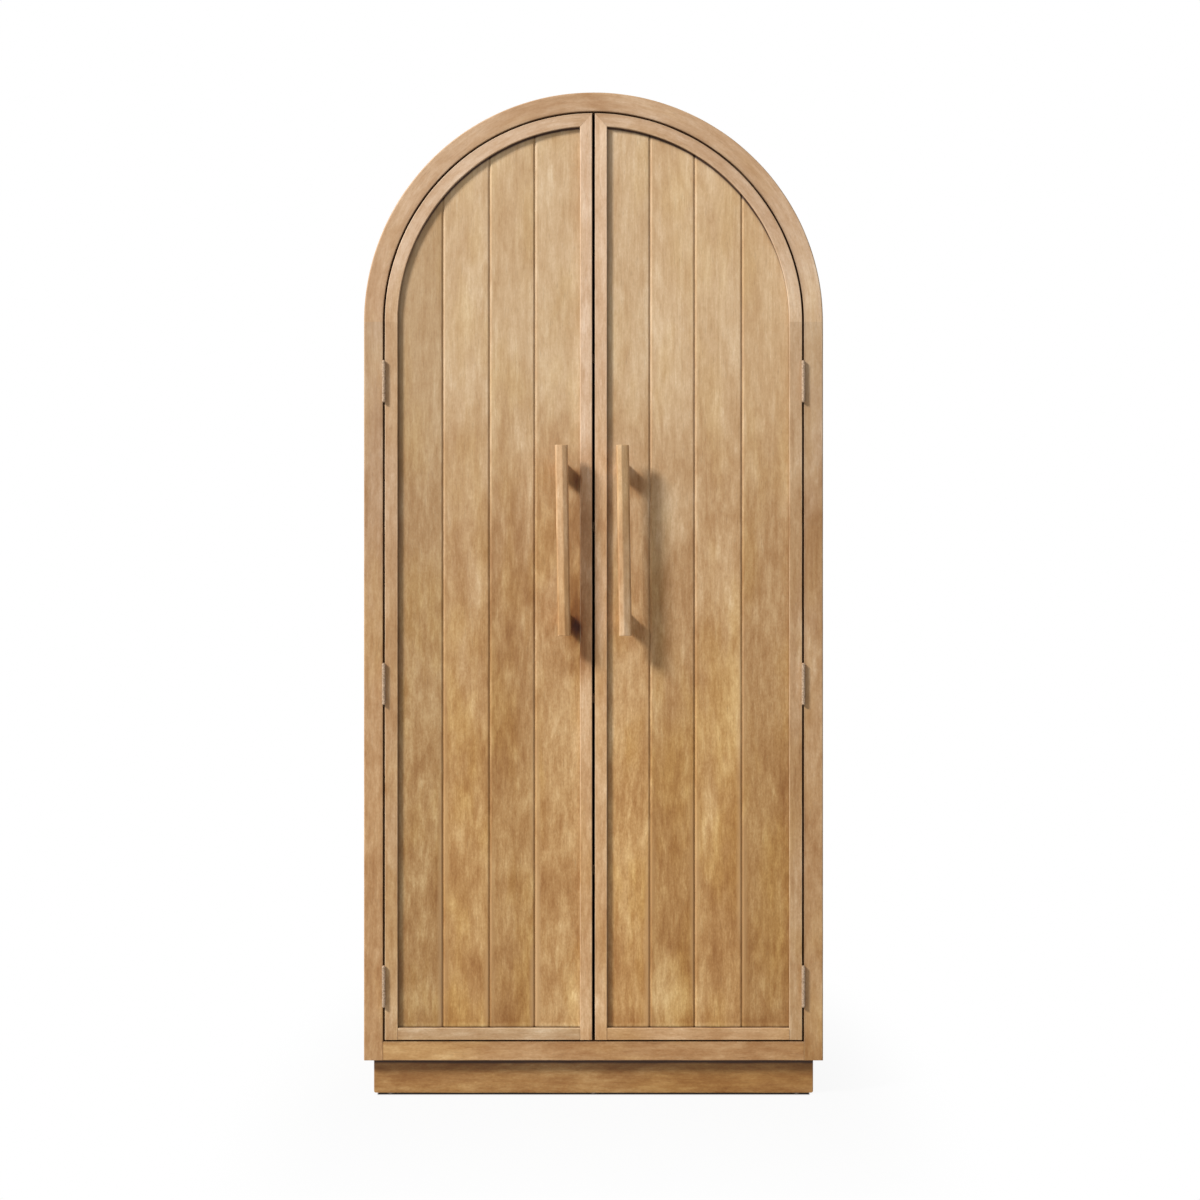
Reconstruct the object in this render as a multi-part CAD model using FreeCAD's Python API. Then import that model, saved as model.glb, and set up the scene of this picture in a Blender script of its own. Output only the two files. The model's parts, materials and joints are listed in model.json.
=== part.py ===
import FreeCAD, Part

import math
import os

# A tall cabinet with a round-arched top and a pair of plank doors, on a recessed plinth.
#
# Frame: millimetres, +X to the right seen from the front, +Y to the back, +Z up.
# The origin is on the floor, at the middle of the whole footprint, handles included.
#
# Carcass: two side panels carry a bent barrel top, joined at the spring line by tongues.
# A floor and one shelf are housed in the sides, and three shelves lie on pins.
# A face frame of two stiles, a bottom rail and four sawn arch segments is glued to the front.
# Doors: inset plank doors, each with grooved stiles, a tenoned bottom rail and an arch rail
# that meets the inner stile in a mitre. Four tongued boards float in the grooves.
# Each door hangs on three butt hinges whose knuckles stand in front of the face frame.

V = FreeCAD.Vector

# Whole object
case_width = 1000.0
overall_height = 2185.0
case_depth = 450.0
overrun = 6.0
fit_gap = 0.1

# Base
glide_height = 2.0
plinth_show = 75.0
plinth_side_inset = 20.0
plinth_rear_inset = 20.0
plinth_board = 18.0
plinth_corner_radius = 5.0
plinth_edge_ease = 2.0
corner_block_size = 32.0
corner_block_lift = 3.0
glide_radius = 8.5
glide_end_margin = 36.0
glide_rim = 0.8
glide_nail_radius = 1.2
glide_nail_length = 14.0
glide_nail_gap = 0.05
glides_per_board = 3

# Carcass
side_thickness = 20.0
back_thickness = 8.0
rebate_width = 10.0
rebate_gap = 0.5
carcass_edge_ease = 2.0
housing_depth = 7.0
carcass_tongue_length = 8.0
carcass_tongue_thickness = 6.0
carcass_tongue_back_stop = 24.0

# Face frame
face_thickness = 20.0
face_width = 42.0
face_rail_height = 41.5
face_outer_ease = 3.0
face_inner_ease = 1.2
face_bottom_ease = 1.8
arch_segments = 4
face_tongue_length = 9.0
face_tongue_thickness = 6.0
face_tongue_margin = 11.0
rail_tenon_length = 14.0
rail_tenon_margin = 8.0

# Shelves
floor_thickness = 20.0
shelf_thickness = 20.0
fixed_shelf_share = 0.47
loose_shelf_shares = (0.23, 0.71, 0.945)
fixed_shelf_setback = 4.0
loose_shelf_setback = 14.0
loose_shelf_end_gap = 1.5
loose_shelf_rear_gap = 4.0
shelf_edge_ease = 1.5
pin_radius = 2.5
pin_in_wall = 9.0
pin_stand_out = 10.0
pin_hole_gap = 0.05
pin_hole_extra_depth = 0.5
pin_row_inset = 62.0
pin_hole_pitch = 32.0
pin_holes_each_way = 1

# Wall fixing
fixing_rail_length = 440.0
fixing_rail_height = 60.0
fixing_rail_thickness = 18.0
fixing_rail_above_spring = 215.0
fixing_hole_radius = 2.75
fixing_hole_spacing = 320.0

# Back panel screws
back_screw_radius = 1.5
back_screw_head_radius = 3.0
back_screw_length = 24.0
back_screw_edge = 4.5
back_screws_per_side = 6
back_screws_on_arch = 7
back_screws_on_floor = 3
back_screw_end_margin = 70.0

# Doors
door_gap = 3.5
meeting_gap = 5.5
door_thickness = 20.0
door_frame_width = 28.5
meeting_stile_width = 27.0
door_rail_height = 26.0
door_front_ease = 1.4
door_back_ease = 0.8
panel_recess = 10.0
panel_lip = 7.0
panel_back_step = 2.0
panel_back_gap = 1.0
groove_depth = 8.0
tongue_in_groove = 7.0
groove_side_gap = 0.1
door_tongue_length = 12.0
door_tongue_margin = 7.0

# Boards of the doors: each door's joints as shares of the panel's width, from its left edge
left_joint_shares = (0.247, 0.503, 0.752)
right_joint_shares = (0.236, 0.482, 0.742)
boards_per_door = len(left_joint_shares) + 1
board_joint_gap = 0.5
board_vee = 3.0
board_tongue = 5.0
board_tongue_thickness = 2.5
board_tongue_below_vee = 0.8
board_groove_gap = 0.2

# Handles
handle_from_centre = 66.0
handle_centre_z = 1208.0
handle_lean = 0.9
bar_length = 412.0
bar_width = 28.0
bar_depth = 23.0
bar_front_facet = 7.5
bar_back_facet = 4.0
bar_end_ease = 1.6
post_spacing = 326.0
post_drop = 6.0
post_width = 20.0
post_height = 24.0
post_length = 38.0
post_edge_ease = 1.5
handle_screw_radius = 2.0
handle_screw_head_radius = 4.0
handle_screw_head_height = 2.4
handle_screw_head_ease = 1.2
handle_screw_in_bar = 13.0

# Hinges
top_hinge_drop = 130.0
bottom_hinge_rise = 117.0
hinges_per_door = 3
hinge_length = 88.0
knuckles = 5
knuckle_radius = 4.0
knuckle_end_gap = 0.3
knuckle_face_gap = 0.3
plate_knuckle_gap = 0.4
leaf_thickness = 2.2
leaf_gap = 0.6
leaf_reach = 22.0
pin_shaft_radius = 2.0
pin_running_gap = 0.05
pin_head_radius = 3.2
pin_head_height = 1.6
pin_head_bevel = 0.9
leaf_screw_radius = 1.75
leaf_screw_head_radius = 3.3
leaf_screw_length = 15.0
leaf_screw_end_margin = 13.0
leaf_screw_from_edge = 6.0
leaf_screw_zigzag = 4.0
recess_width = 0.8
recess_length_share = 1.1
recess_depth_share = 0.55

# Catches
catch_width = 22.0
catch_depth = 16.0
catch_height = 14.0
catch_edge_ease = 1.5
catch_face_gap = 0.3
catch_screw_radius = 1.4
catch_screw_head_radius = 2.6
catch_screw_bite = 12.0
strike_width = 18.0
strike_height = 10.0
strike_thickness = 1.2
strike_screw_radius = 1.2
strike_screw_head_radius = 2.1
strike_screw_length = 12.0

# Places that follow from the sizes
half_width = case_width / 2
spring_z = overall_height - half_width
case_bottom_z = glide_height + plinth_show
rail_top_z = case_bottom_z + face_rail_height
floor_bottom_z = rail_top_z - floor_thickness
plinth_x = half_width - plinth_side_inset
handle_reach = post_length + bar_depth - panel_recess
whole_depth = case_depth + handle_reach
face_y = handle_reach - whole_depth / 2
back_y = whole_depth / 2
carcass_y = face_y + face_thickness
back_inner_y = back_y - back_thickness
inner_x = half_width - side_thickness
opening_x = half_width - face_width
arch_centre = V(0, 0, spring_z)
plinth_front_y = carcass_y
plinth_back_y = back_y - plinth_rear_inset
side_height = spring_z - rail_top_z
fixed_shelf_z = rail_top_z + side_height * fixed_shelf_share
loose_shelf_zs = [rail_top_z + side_height * share for share in loose_shelf_shares]
quarter_turn = 90.0
half_turn = 2 * quarter_turn
arch_step = half_turn / arch_segments

door_back_y = face_y + door_thickness
door_outer_x = opening_x - door_gap
door_inner_x = door_outer_x - door_frame_width
meeting_x = meeting_gap / 2
panel_x = meeting_x + meeting_stile_width
door_bottom_z = rail_top_z + door_gap
panel_width = door_inner_x - panel_x
panel_bottom_z = door_bottom_z + door_rail_height
panel_front_y = face_y + panel_recess
lip_back_y = panel_front_y + panel_lip
panel_back_y = lip_back_y + panel_back_step
catch_x = meeting_x + meeting_stile_width / 2
catch_y = door_back_y + strike_thickness + catch_face_gap

hinge_x = opening_x - door_gap / 2
hinge_y = face_y - knuckle_radius - knuckle_face_gap
plate_y = hinge_y + knuckle_radius + plate_knuckle_gap
leaf_end_y = hinge_y + leaf_reach
top_hinge_z = spring_z - top_hinge_drop
hinge_step = (top_hinge_z - door_bottom_z - bottom_hinge_rise) / (hinges_per_door - 1)
hinge_zs = [top_hinge_z - i * hinge_step for i in range(hinges_per_door)]


# Plain shapes

def block(x0, x1, y0, y1, z0, z1):
    return Part.makeBox(x1 - x0, y1 - y0, z1 - z0, V(x0, y0, z0))


def rounded_section(u0, u1, v0, v1, radii, place):
    """A rectangle with its own radius at the corners u0v0, u1v0, u1v1 and u0v1, as a face."""
    corners = [(u0, v0), (u1, v0), (u1, v1), (u0, v1)]
    ways = [(1, 0), (0, 1), (-1, 0), (0, -1)]
    edges = []
    starts = []
    ends = []
    middles = []
    for i, (u, v) in enumerate(corners):
        came = ways[i - 1]
        goes = ways[i]
        r = radii[i]
        start = (u - came[0] * r, v - came[1] * r)
        end = (u + goes[0] * r, v + goes[1] * r)
        centre = (start[0] + goes[0] * r, start[1] + goes[1] * r)
        diagonal = math.sqrt(2)
        middle = (
            centre[0] + (came[0] - goes[0]) * r / diagonal,
            centre[1] + (came[1] - goes[1]) * r / diagonal,
        )
        starts.append(place(*start))
        ends.append(place(*end))
        middles.append(place(*middle))
    for i in range(len(corners)):
        if radii[i] > 0:
            edges.append(Part.Arc(starts[i], middles[i], ends[i]).toShape())
        after = starts[(i + 1) % len(corners)]
        if ends[i].distanceToPoint(after) > 0:
            edges.append(Part.LineSegment(ends[i], after).toShape())
    return Part.Face(Part.Wire(edges))


def polygon(points):
    return Part.Face(Part.makePolygon(points + points[:1]))


def upright(x0, x1, y0, y1, z0, z1, radii):
    """A vertical bar whose long edges are eased, each by its own radius."""
    section = rounded_section(x0, x1, y0, y1, radii, lambda u, v: V(u, v, z0))
    return section.extrude(V(0, 0, z1 - z0))


def crossbar(x0, x1, y0, y1, z0, z1, radii):
    """A horizontal bar along X; the radii are at front-bottom, back-bottom, back-top, front-top."""
    section = rounded_section(y0, y1, z0, z1, radii, lambda u, v: V(x0, u, v))
    return section.extrude(V(x1 - x0, 0, 0))


def arched(r0, r1, y0, y1, start, sweep, radii):
    """The same bar bent round the arch's centre, from an angle above the right spring point."""
    section = rounded_section(r0, r1, y0, y1, radii, lambda u, v: V(u, v, spring_z))
    section.rotate(arch_centre, V(0, -1, 0), start)
    return section.revolve(arch_centre, V(0, -1, 0), sweep)


def turned(shape, angle):
    """The shape swung up round the arch's centre."""
    moved = shape.copy()
    moved.rotate(arch_centre, V(0, -1, 0), angle)
    return moved


def on_side(shape, side):
    """The shape as drawn on the right, or its mirror image on the left."""
    return shape if side > 0 else shape.mirror(V(0, 0, 0), V(1, 0, 0))


def on_arch(radius, x, y):
    """The point at X on the arch's circle of a radius."""
    return V(x, y, spring_z + math.sqrt(max(radius ** 2 - x ** 2, 0)))


def domed(x0, x1, z0, radius, y0, y1):
    """A sheet with straight sides from z0 and the arch's curve as its top."""
    top = [on_arch(radius, x, y0) for x in (x1, (x0 + x1) / 2, x0)]
    corners = [top[2], V(x0, y0, z0), V(x1, y0, z0), top[0]]
    edges = [Part.LineSegment(a, b).toShape() for a, b in zip(corners, corners[1:])]
    edges.append(Part.Arc(*top).toShape())
    return Part.Face(Part.Wire(edges)).extrude(V(0, y1 - y0, 0))


# Fasteners

def countersunk(point, way, radius, head_radius, length, gap=0):
    """A countersunk screw, or with a gap the hole that clears it, from its head's face inwards."""
    cone_height = head_radius - radius
    head = Part.makeCone(head_radius + gap, radius + gap, cone_height, point, way)
    shank = Part.makeCylinder(radius + gap, length + gap, point, way)
    return head.fuse(shank).removeSplitter()


def cross_recess(point, way, head_radius):
    """The cross that a screwdriver turns, sunk in a head's face."""
    length = head_radius * recess_length_share
    depth = head_radius * recess_depth_share
    arms = []
    for a, b in ((length, recess_width), (recess_width, length)):
        arm = Part.makeBox(a, b, depth + overrun, V(-a / 2, -b / 2, -overrun))
        arm.Placement = FreeCAD.Placement(point, FreeCAD.Rotation(V(0, 0, 1), way))
        arms.append(arm)
    return arms[0].fuse(arms[1])


def wood_screw(point, way, radius, head_radius, length):
    screw = countersunk(point, way, radius, head_radius, length)
    return screw.cut(cross_recess(point, way, head_radius))


def group(solids):
    """Several separate solids that share one node."""
    return Part.makeCompound(solids)


# Carcass

def joint_tongue(angle, length, r0, r1, y0, y1, gap):
    """A tongue that stands down from the arch's joint at an angle, or with a gap its mortise."""
    base = overrun if gap else 0
    tongue = block(r0 - gap, r1 + gap, y0 - gap, y1 + gap, spring_z - length - gap, spring_z + base)
    return turned(tongue, angle)


def carcass_tongue(gap=0):
    """The tongue between the barrel top and the right side panel."""
    middle = half_width - side_thickness / 2
    half = carcass_tongue_thickness / 2
    y1 = back_y - carcass_tongue_back_stop
    return joint_tongue(0, carcass_tongue_length, middle - half, middle + half, carcass_y, y1, gap)


def pin_places(side):
    """Where one side's shelf pins stand: the point on the wall, and the height of the shelf."""
    rows = (carcass_y + pin_row_inset, back_inner_y - pin_row_inset)
    return [(V(side * inner_x, y, z), z) for z in loose_shelf_zs for y in rows]


def pin_holes():
    holes = []
    depth = pin_in_wall + pin_hole_extra_depth
    for wall, shelf_z in pin_places(1):
        for step in range(-pin_holes_each_way, pin_holes_each_way + 1):
            z = shelf_z - pin_radius + step * pin_hole_pitch
            start = V(wall.x - overrun, wall.y, z)
            radius = pin_radius + pin_hole_gap
            holes.append(Part.makeCylinder(radius, depth + overrun, start, V(1, 0, 0)))
    return group(holes)


def back_screw_places():
    """Points on the outer face of the back panel where its screws go in."""
    x = inner_x + back_screw_edge
    first = rail_top_z + back_screw_end_margin
    last = spring_z - back_screw_end_margin
    step = (last - first) / (back_screws_per_side - 1)
    places = [V(s * x, back_y, first + i * step) for s in (-1, 1) for i in range(back_screws_per_side)]
    for i in range(back_screws_on_arch):
        angle = math.radians(half_turn * (i + 1) / (back_screws_on_arch + 1))
        places.append(V(x * math.cos(angle), back_y, spring_z + x * math.sin(angle)))
    span = 2 * inner_x / back_screws_on_floor
    floor_middle_z = floor_bottom_z + floor_thickness / 2
    for i in range(back_screws_on_floor):
        places.append(V(-inner_x + span * (i + 1 / 2), back_y, floor_middle_z))
    return places


def back_screw_holes():
    return group([
        countersunk(p, V(0, -1, 0), back_screw_radius, back_screw_head_radius, back_screw_length, fit_gap)
        for p in back_screw_places()
    ])


def side_panel():
    """The right side panel, with its rebate, housings, top groove and pin holes."""
    panel = upright(
        inner_x, half_width, carcass_y, back_y, case_bottom_z, spring_z,
        (0, 0, carcass_edge_ease, 0),
    )
    rebate_x = inner_x + rebate_width
    cuts = [
        block(inner_x - overrun, rebate_x, back_inner_y, back_y + overrun,
              case_bottom_z - overrun, spring_z + overrun),
        block(inner_x - overrun, inner_x + housing_depth, carcass_y - overrun, back_y,
              floor_bottom_z, rail_top_z),
        block(inner_x - overrun, inner_x + housing_depth, carcass_y - overrun, back_y,
              fixed_shelf_z, fixed_shelf_z + shelf_thickness),
        carcass_tongue(fit_gap),
        pin_holes(),
        back_screw_holes(),
    ]
    return panel.cut(cuts)


def barrel_top():
    """The bent top: half a barrel from side to side, with tongues that drop into the sides."""
    shell = arched(
        inner_x, half_width, carcass_y, back_y, 0, half_turn, (0, 0, carcass_edge_ease, 0)
    )
    rebate = arched(
        inner_x - overrun, inner_x + rebate_width, back_inner_y, back_y + overrun,
        0, half_turn, (0, 0, 0, 0),
    )
    shell = shell.cut(rebate)
    shell = shell.fuse([on_side(carcass_tongue(), side) for side in (-1, 1)]).removeSplitter()
    return shell.cut(back_screw_holes())


def case_floor():
    floor = block(
        -inner_x - housing_depth, inner_x + housing_depth, carcass_y, back_inner_y,
        floor_bottom_z, rail_top_z,
    )
    return floor.cut([back_screw_holes(), catch_screw_holes()])


def back_panel():
    """One arched sheet in the rebate, drilled for its screws and for the wall fixing."""
    reach = inner_x + rebate_width - rebate_gap
    sheet = domed(-reach, reach, case_bottom_z + rebate_gap, reach, back_inner_y, back_y)
    return sheet.cut([back_screw_holes(), fixing_holes()])


def fixing_holes():
    z = spring_z + fixing_rail_above_spring + fixing_rail_height / 2
    depth = back_thickness + fixing_rail_thickness + 2 * overrun
    holes = []
    for side in (-1, 1):
        start = V(side * fixing_hole_spacing / 2, back_y + overrun, z)
        holes.append(Part.makeCylinder(fixing_hole_radius, depth, start, V(0, -1, 0)))
    return group(holes)


def wall_fixing_rail():
    """A rail glued inside the back panel, through which the cabinet is screwed to a wall."""
    z = spring_z + fixing_rail_above_spring
    rail = crossbar(
        -fixing_rail_length / 2, fixing_rail_length / 2, back_inner_y - fixing_rail_thickness,
        back_inner_y, z, z + fixing_rail_height,
        (shelf_edge_ease, 0, 0, shelf_edge_ease),
    )
    return rail.cut(fixing_holes())


# Face frame

def face_tongue(angle, gap=0):
    """The tongue in the face frame's joint at an angle, or with a gap its mortise."""
    middle = (face_y + carcass_y) / 2
    half = face_tongue_thickness / 2
    return joint_tongue(
        angle, face_tongue_length, opening_x + face_tongue_margin, half_width - face_tongue_margin,
        middle - half, middle + half, gap,
    )


def rail_tenon(gap=0):
    """The bottom rail's tenon in the right stile."""
    middle = (face_y + carcass_y) / 2
    half = face_tongue_thickness / 2 + gap
    return block(
        opening_x - overrun, opening_x + rail_tenon_length + gap, middle - half, middle + half,
        case_bottom_z + rail_tenon_margin - gap, rail_top_z - rail_tenon_margin + gap,
    )


def bottom_ease(radius):
    """What rounding the face frame's bottom front edge takes away."""
    corner = block(
        -half_width - overrun, half_width + overrun, face_y - overrun, face_y + radius,
        case_bottom_z - overrun, case_bottom_z + radius,
    )
    round_stock = Part.makeCylinder(
        radius, case_width + 2 * overrun,
        V(-half_width - overrun, face_y + radius, case_bottom_z + radius), V(1, 0, 0),
    )
    return corner.cut(round_stock)


def face_stile():
    """The right stile, let in for the case leaves of its hinges."""
    stile = upright(
        opening_x, half_width, face_y, carcass_y, case_bottom_z, spring_z,
        (face_inner_ease, face_outer_ease, 0, 0),
    )
    cuts = [rail_tenon(fit_gap), face_tongue(0, fit_gap), bottom_ease(face_bottom_ease)]
    for z in hinge_zs:
        cuts.append(leaf_pocket(z, case_side=True))
        cuts += [leaf_screw(place, V(1, 0, 0), hole=True) for place in leaf_screw_places(z, True)]
    return stile.cut(cuts)


def face_segment(index):
    """One sawn segment of the face arch, counted from the right spring point."""
    start = index * arch_step
    segment = arched(
        opening_x, half_width, face_y, carcass_y, start, arch_step,
        (face_inner_ease, face_outer_ease, 0, 0),
    )
    segment = segment.fuse(face_tongue(start)).removeSplitter()
    if index < arch_segments - 1:
        return segment.cut(face_tongue(start + arch_step, fit_gap))
    return segment.fuse(on_side(face_tongue(0), -1)).removeSplitter()


def face_bottom_rail():
    rail = crossbar(
        -opening_x, opening_x, face_y, carcass_y, case_bottom_z, rail_top_z,
        (face_bottom_ease, 0, 0, face_inner_ease),
    )
    return rail.fuse([on_side(rail_tenon(), side) for side in (-1, 1)]).removeSplitter()


# Base

def plinth_front():
    """The front board, standing behind the bottom rail, with rounded lower corners."""
    board = upright(
        -plinth_x, plinth_x, plinth_front_y, plinth_front_y + plinth_board,
        glide_height, floor_bottom_z, (plinth_edge_ease, plinth_edge_ease, 0, 0),
    )
    centre_x = plinth_x - plinth_corner_radius
    centre_z = glide_height + plinth_corner_radius
    corner = block(centre_x, plinth_x + overrun, plinth_front_y - overrun,
                   plinth_front_y + plinth_board + overrun, glide_height - overrun, centre_z)
    round_end = Part.makeCylinder(plinth_corner_radius, plinth_board + 2 * overrun,
                                  V(centre_x, plinth_front_y - overrun, centre_z), V(0, 1, 0))
    waste = corner.cut(round_end)
    return board.cut([on_side(waste, -1), waste, glide_holes()])


def plinth_rear():
    board = upright(-plinth_x, plinth_x, plinth_back_y - plinth_board, plinth_back_y,
                    glide_height, floor_bottom_z, (0, 0, plinth_edge_ease, plinth_edge_ease))
    return board.cut(glide_holes())


def plinth_end():
    return block(plinth_x - plinth_board, plinth_x, plinth_front_y + plinth_board,
                 plinth_back_y - plinth_board, glide_height, floor_bottom_z)


def plinth_corner_blocks():
    """Glue blocks in the four inner corners of the plinth."""
    outer = plinth_x - plinth_board
    front = plinth_front_y + plinth_board
    rear = plinth_back_y - plinth_board - corner_block_size
    blocks = []
    for y in (front, rear):
        piece = upright(outer - corner_block_size, outer, y, y + corner_block_size,
                        glide_height + corner_block_lift, floor_bottom_z,
                        (shelf_edge_ease, 0, 0, shelf_edge_ease))
        blocks += [on_side(piece, side) for side in (-1, 1)]
    return group(blocks)


def glide_places():
    reach = plinth_x - glide_end_margin
    step = 2 * reach / (glides_per_board - 1)
    ys = (plinth_front_y + plinth_board / 2, plinth_back_y - plinth_board / 2)
    return [V(-reach + i * step, y, 0) for y in ys for i in range(glides_per_board)]


def glide_holes():
    depth = glide_height + glide_nail_length + fit_gap
    return group([
        Part.makeCylinder(glide_nail_radius + glide_nail_gap, depth, place, V(0, 0, 1))
        for place in glide_places()
    ])


def floor_glides():
    """Nylon discs nailed under the front and rear boards: what the cabinet stands on."""
    up = V(0, 0, 1)
    glides = []
    for place in glide_places():
        rim = Part.makeCone(glide_radius - glide_rim, glide_radius, glide_rim, place, up)
        seat = place + up * glide_rim
        disc = Part.makeCylinder(glide_radius, glide_height - glide_rim, seat, up)
        nail = Part.makeCylinder(glide_nail_radius, glide_height - glide_rim + glide_nail_length, seat, up)
        glides.append(rim.fuse([disc, nail]).removeSplitter())
    return group(glides)


# Shelves and catches

def fixed_shelf():
    reach = inner_x + housing_depth
    shelf = crossbar(
        -reach, reach, carcass_y + fixed_shelf_setback, back_inner_y,
        fixed_shelf_z, fixed_shelf_z + shelf_thickness,
        (shelf_edge_ease, 0, 0, shelf_edge_ease),
    )
    return shelf.cut(catch_screw_holes())


def loose_shelf(z):
    reach = inner_x - loose_shelf_end_gap
    return crossbar(
        -reach, reach, carcass_y + loose_shelf_setback, back_inner_y - loose_shelf_rear_gap,
        z, z + shelf_thickness,
        (shelf_edge_ease, shelf_edge_ease, shelf_edge_ease, shelf_edge_ease),
    )


def shelf_pins():
    pins = []
    for side in (-1, 1):
        for wall, z in pin_places(side):
            start = V(wall.x + side * pin_in_wall, wall.y, z - pin_radius)
            pins.append(Part.makeCylinder(pin_radius, pin_in_wall + pin_stand_out, start, V(-side, 0, 0)))
    return group(pins)


def catch_places():
    """Each catch: its side, the face that it is screwed to, and the way from that face into it."""
    return [(side, z, way) for side in (-1, 1) for z, way in ((fixed_shelf_z, -1), (rail_top_z, 1))]


def magnetic_catches():
    """Small magnet housings under the fixed shelf and on the floor, one pair for each door."""
    housings = []
    for side, z, way in catch_places():
        x = side * catch_x
        z0, z1 = sorted((z, z + way * catch_height))
        body = upright(
            x - catch_width / 2, x + catch_width / 2, catch_y, catch_y + catch_depth, z0, z1,
            (catch_edge_ease, catch_edge_ease, catch_edge_ease, catch_edge_ease),
        )
        housings.append(body.cut(catch_screw(side, z, way, hole=True)))
    return group(housings)


def catch_screw(side, z, way, hole=False):
    head = V(side * catch_x, catch_y + catch_depth / 2, z + way * catch_height)
    size = (catch_screw_radius, catch_screw_head_radius, catch_height + catch_screw_bite)
    if hole:
        return countersunk(head, V(0, 0, -way), *size, fit_gap)
    return wood_screw(head, V(0, 0, -way), *size)


def catch_screw_holes():
    return group([catch_screw(side, z, way, hole=True) for side, z, way in catch_places()])


def catch_screws():
    return group([catch_screw(side, z, way) for side, z, way in catch_places()])


def strike_places(side):
    """The strike plates' middles on the back of one door's inner stile."""
    return [V(side * catch_x, door_back_y, z + way * catch_height / 2)
            for s, z, way in catch_places() if s == side]


def strike_screw(place, hole=False):
    head = place + V(0, strike_thickness, 0)
    size = (strike_screw_radius, strike_screw_head_radius, strike_screw_length)
    if hole:
        return countersunk(head, V(0, -1, 0), *size, fit_gap)
    return wood_screw(head, V(0, -1, 0), *size)


def strike_plates(side):
    plates = []
    for p in strike_places(side):
        plate = block(
            p.x - strike_width / 2, p.x + strike_width / 2, p.y, p.y + strike_thickness,
            p.z - strike_height / 2, p.z + strike_height / 2,
        )
        plates.append(plate.cut(strike_screw(p, hole=True)))
    return group(plates)


# Hinges, drawn on the right

def leaf_faces(case_side):
    """The X of a leaf's face towards the joint and of its face in the wood."""
    way = 1 if case_side else -1
    near = hinge_x + way * leaf_gap / 2
    return near, near + way * leaf_thickness


def leaf_pocket(z, case_side):
    near, deep = leaf_faces(case_side)
    x0, x1 = sorted((hinge_x, deep))
    half = hinge_length / 2 + fit_gap
    return block(x0, x1, face_y - overrun, leaf_end_y + fit_gap, z - half, z + half)


def leaf_screw_places(z, case_side):
    near, deep = leaf_faces(case_side)
    reach = hinge_length / 2 - leaf_screw_end_margin
    y = leaf_end_y - leaf_screw_from_edge
    return [
        V(near, y, z - reach),
        V(near, y - leaf_screw_zigzag, z),
        V(near, y, z + reach),
    ]


def leaf_screw(place, way, hole=False):
    size = (leaf_screw_radius, leaf_screw_head_radius, leaf_screw_length)
    if hole:
        return countersunk(place, way, *size, fit_gap)
    return wood_screw(place, way, *size)


def hinge_leaf(z, case_side):
    """A leaf with its own knuckles: the case leaf has the end ones, the door leaf those between."""
    near, deep = leaf_faces(case_side)
    x0, x1 = sorted((near, deep))
    z0 = z - hinge_length / 2
    step = hinge_length / knuckles
    solids = [block(x0, x1, plate_y, leaf_end_y, z0, z0 + hinge_length)]
    for i in range(0 if case_side else 1, knuckles, 2):
        low = z0 + i * step + (knuckle_end_gap / 2 if i > 0 else 0)
        high = z0 + (i + 1) * step - (knuckle_end_gap / 2 if i < knuckles - 1 else 0)
        solids.append(Part.makeCylinder(knuckle_radius, high - low, V(hinge_x, hinge_y, low), V(0, 0, 1)))
        solids.append(block(x0, x1, hinge_y, plate_y, low, high))
    leaf = solids[0].fuse(solids[1:]).removeSplitter()
    bore = Part.makeCylinder(pin_shaft_radius + pin_running_gap, hinge_length + 2 * overrun,
                             V(hinge_x, hinge_y, z0 - overrun), V(0, 0, 1))
    way = V(1 if case_side else -1, 0, 0)
    holes = [leaf_screw(place, way, hole=True) for place in leaf_screw_places(z, case_side)]
    return leaf.cut([bore] + holes)


def hinge_leaves(side, case_side):
    return group([on_side(hinge_leaf(z, case_side), side) for z in hinge_zs])


def hinge_pin(z):
    """A pin with a small bevelled head at each end."""
    half = hinge_length / 2
    shaft = Part.makeCylinder(pin_shaft_radius, hinge_length, V(hinge_x, hinge_y, z - half), V(0, 0, 1))
    heads = []
    for way in (-1, 1):
        seat = V(hinge_x, hinge_y, z + way * half)
        straight = pin_head_height - pin_head_bevel
        heads.append(Part.makeCylinder(pin_head_radius, straight, seat, V(0, 0, way)))
        heads.append(Part.makeCone(pin_head_radius, pin_head_radius - pin_head_bevel, pin_head_bevel,
                                   seat + V(0, 0, way * straight), V(0, 0, way)))
    return shaft.fuse(heads).removeSplitter()


def hinge_pins():
    return group([on_side(hinge_pin(z), side) for side in (-1, 1) for z in hinge_zs])


def case_hinge_screws():
    screws = [leaf_screw(place, V(1, 0, 0)) for z in hinge_zs for place in leaf_screw_places(z, True)]
    return group([on_side(screw, side) for side in (-1, 1) for screw in screws])


def door_screws(side):
    """The screws of one door: those of its hinge leaves and of its strike plates."""
    screws = [leaf_screw(place, V(-1, 0, 0)) for z in hinge_zs for place in leaf_screw_places(z, False)]
    placed = [on_side(screw, side) for screw in screws]
    return group(placed + [strike_screw(p) for p in strike_places(side)])


# Door frames, drawn on the right

def door_groove_y(gap=0):
    return panel_front_y - gap, lip_back_y + gap


def door_tongue(gap=0):
    """The arch rail's tenon in the outer stile's top."""
    y0, y1 = door_groove_y()
    return block(
        door_inner_x + door_tongue_margin + groove_depth / 2 - gap,
        door_outer_x - door_tongue_margin + gap, y0 - gap, y1 + gap,
        spring_z - door_tongue_length - gap, spring_z,
    )


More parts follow.
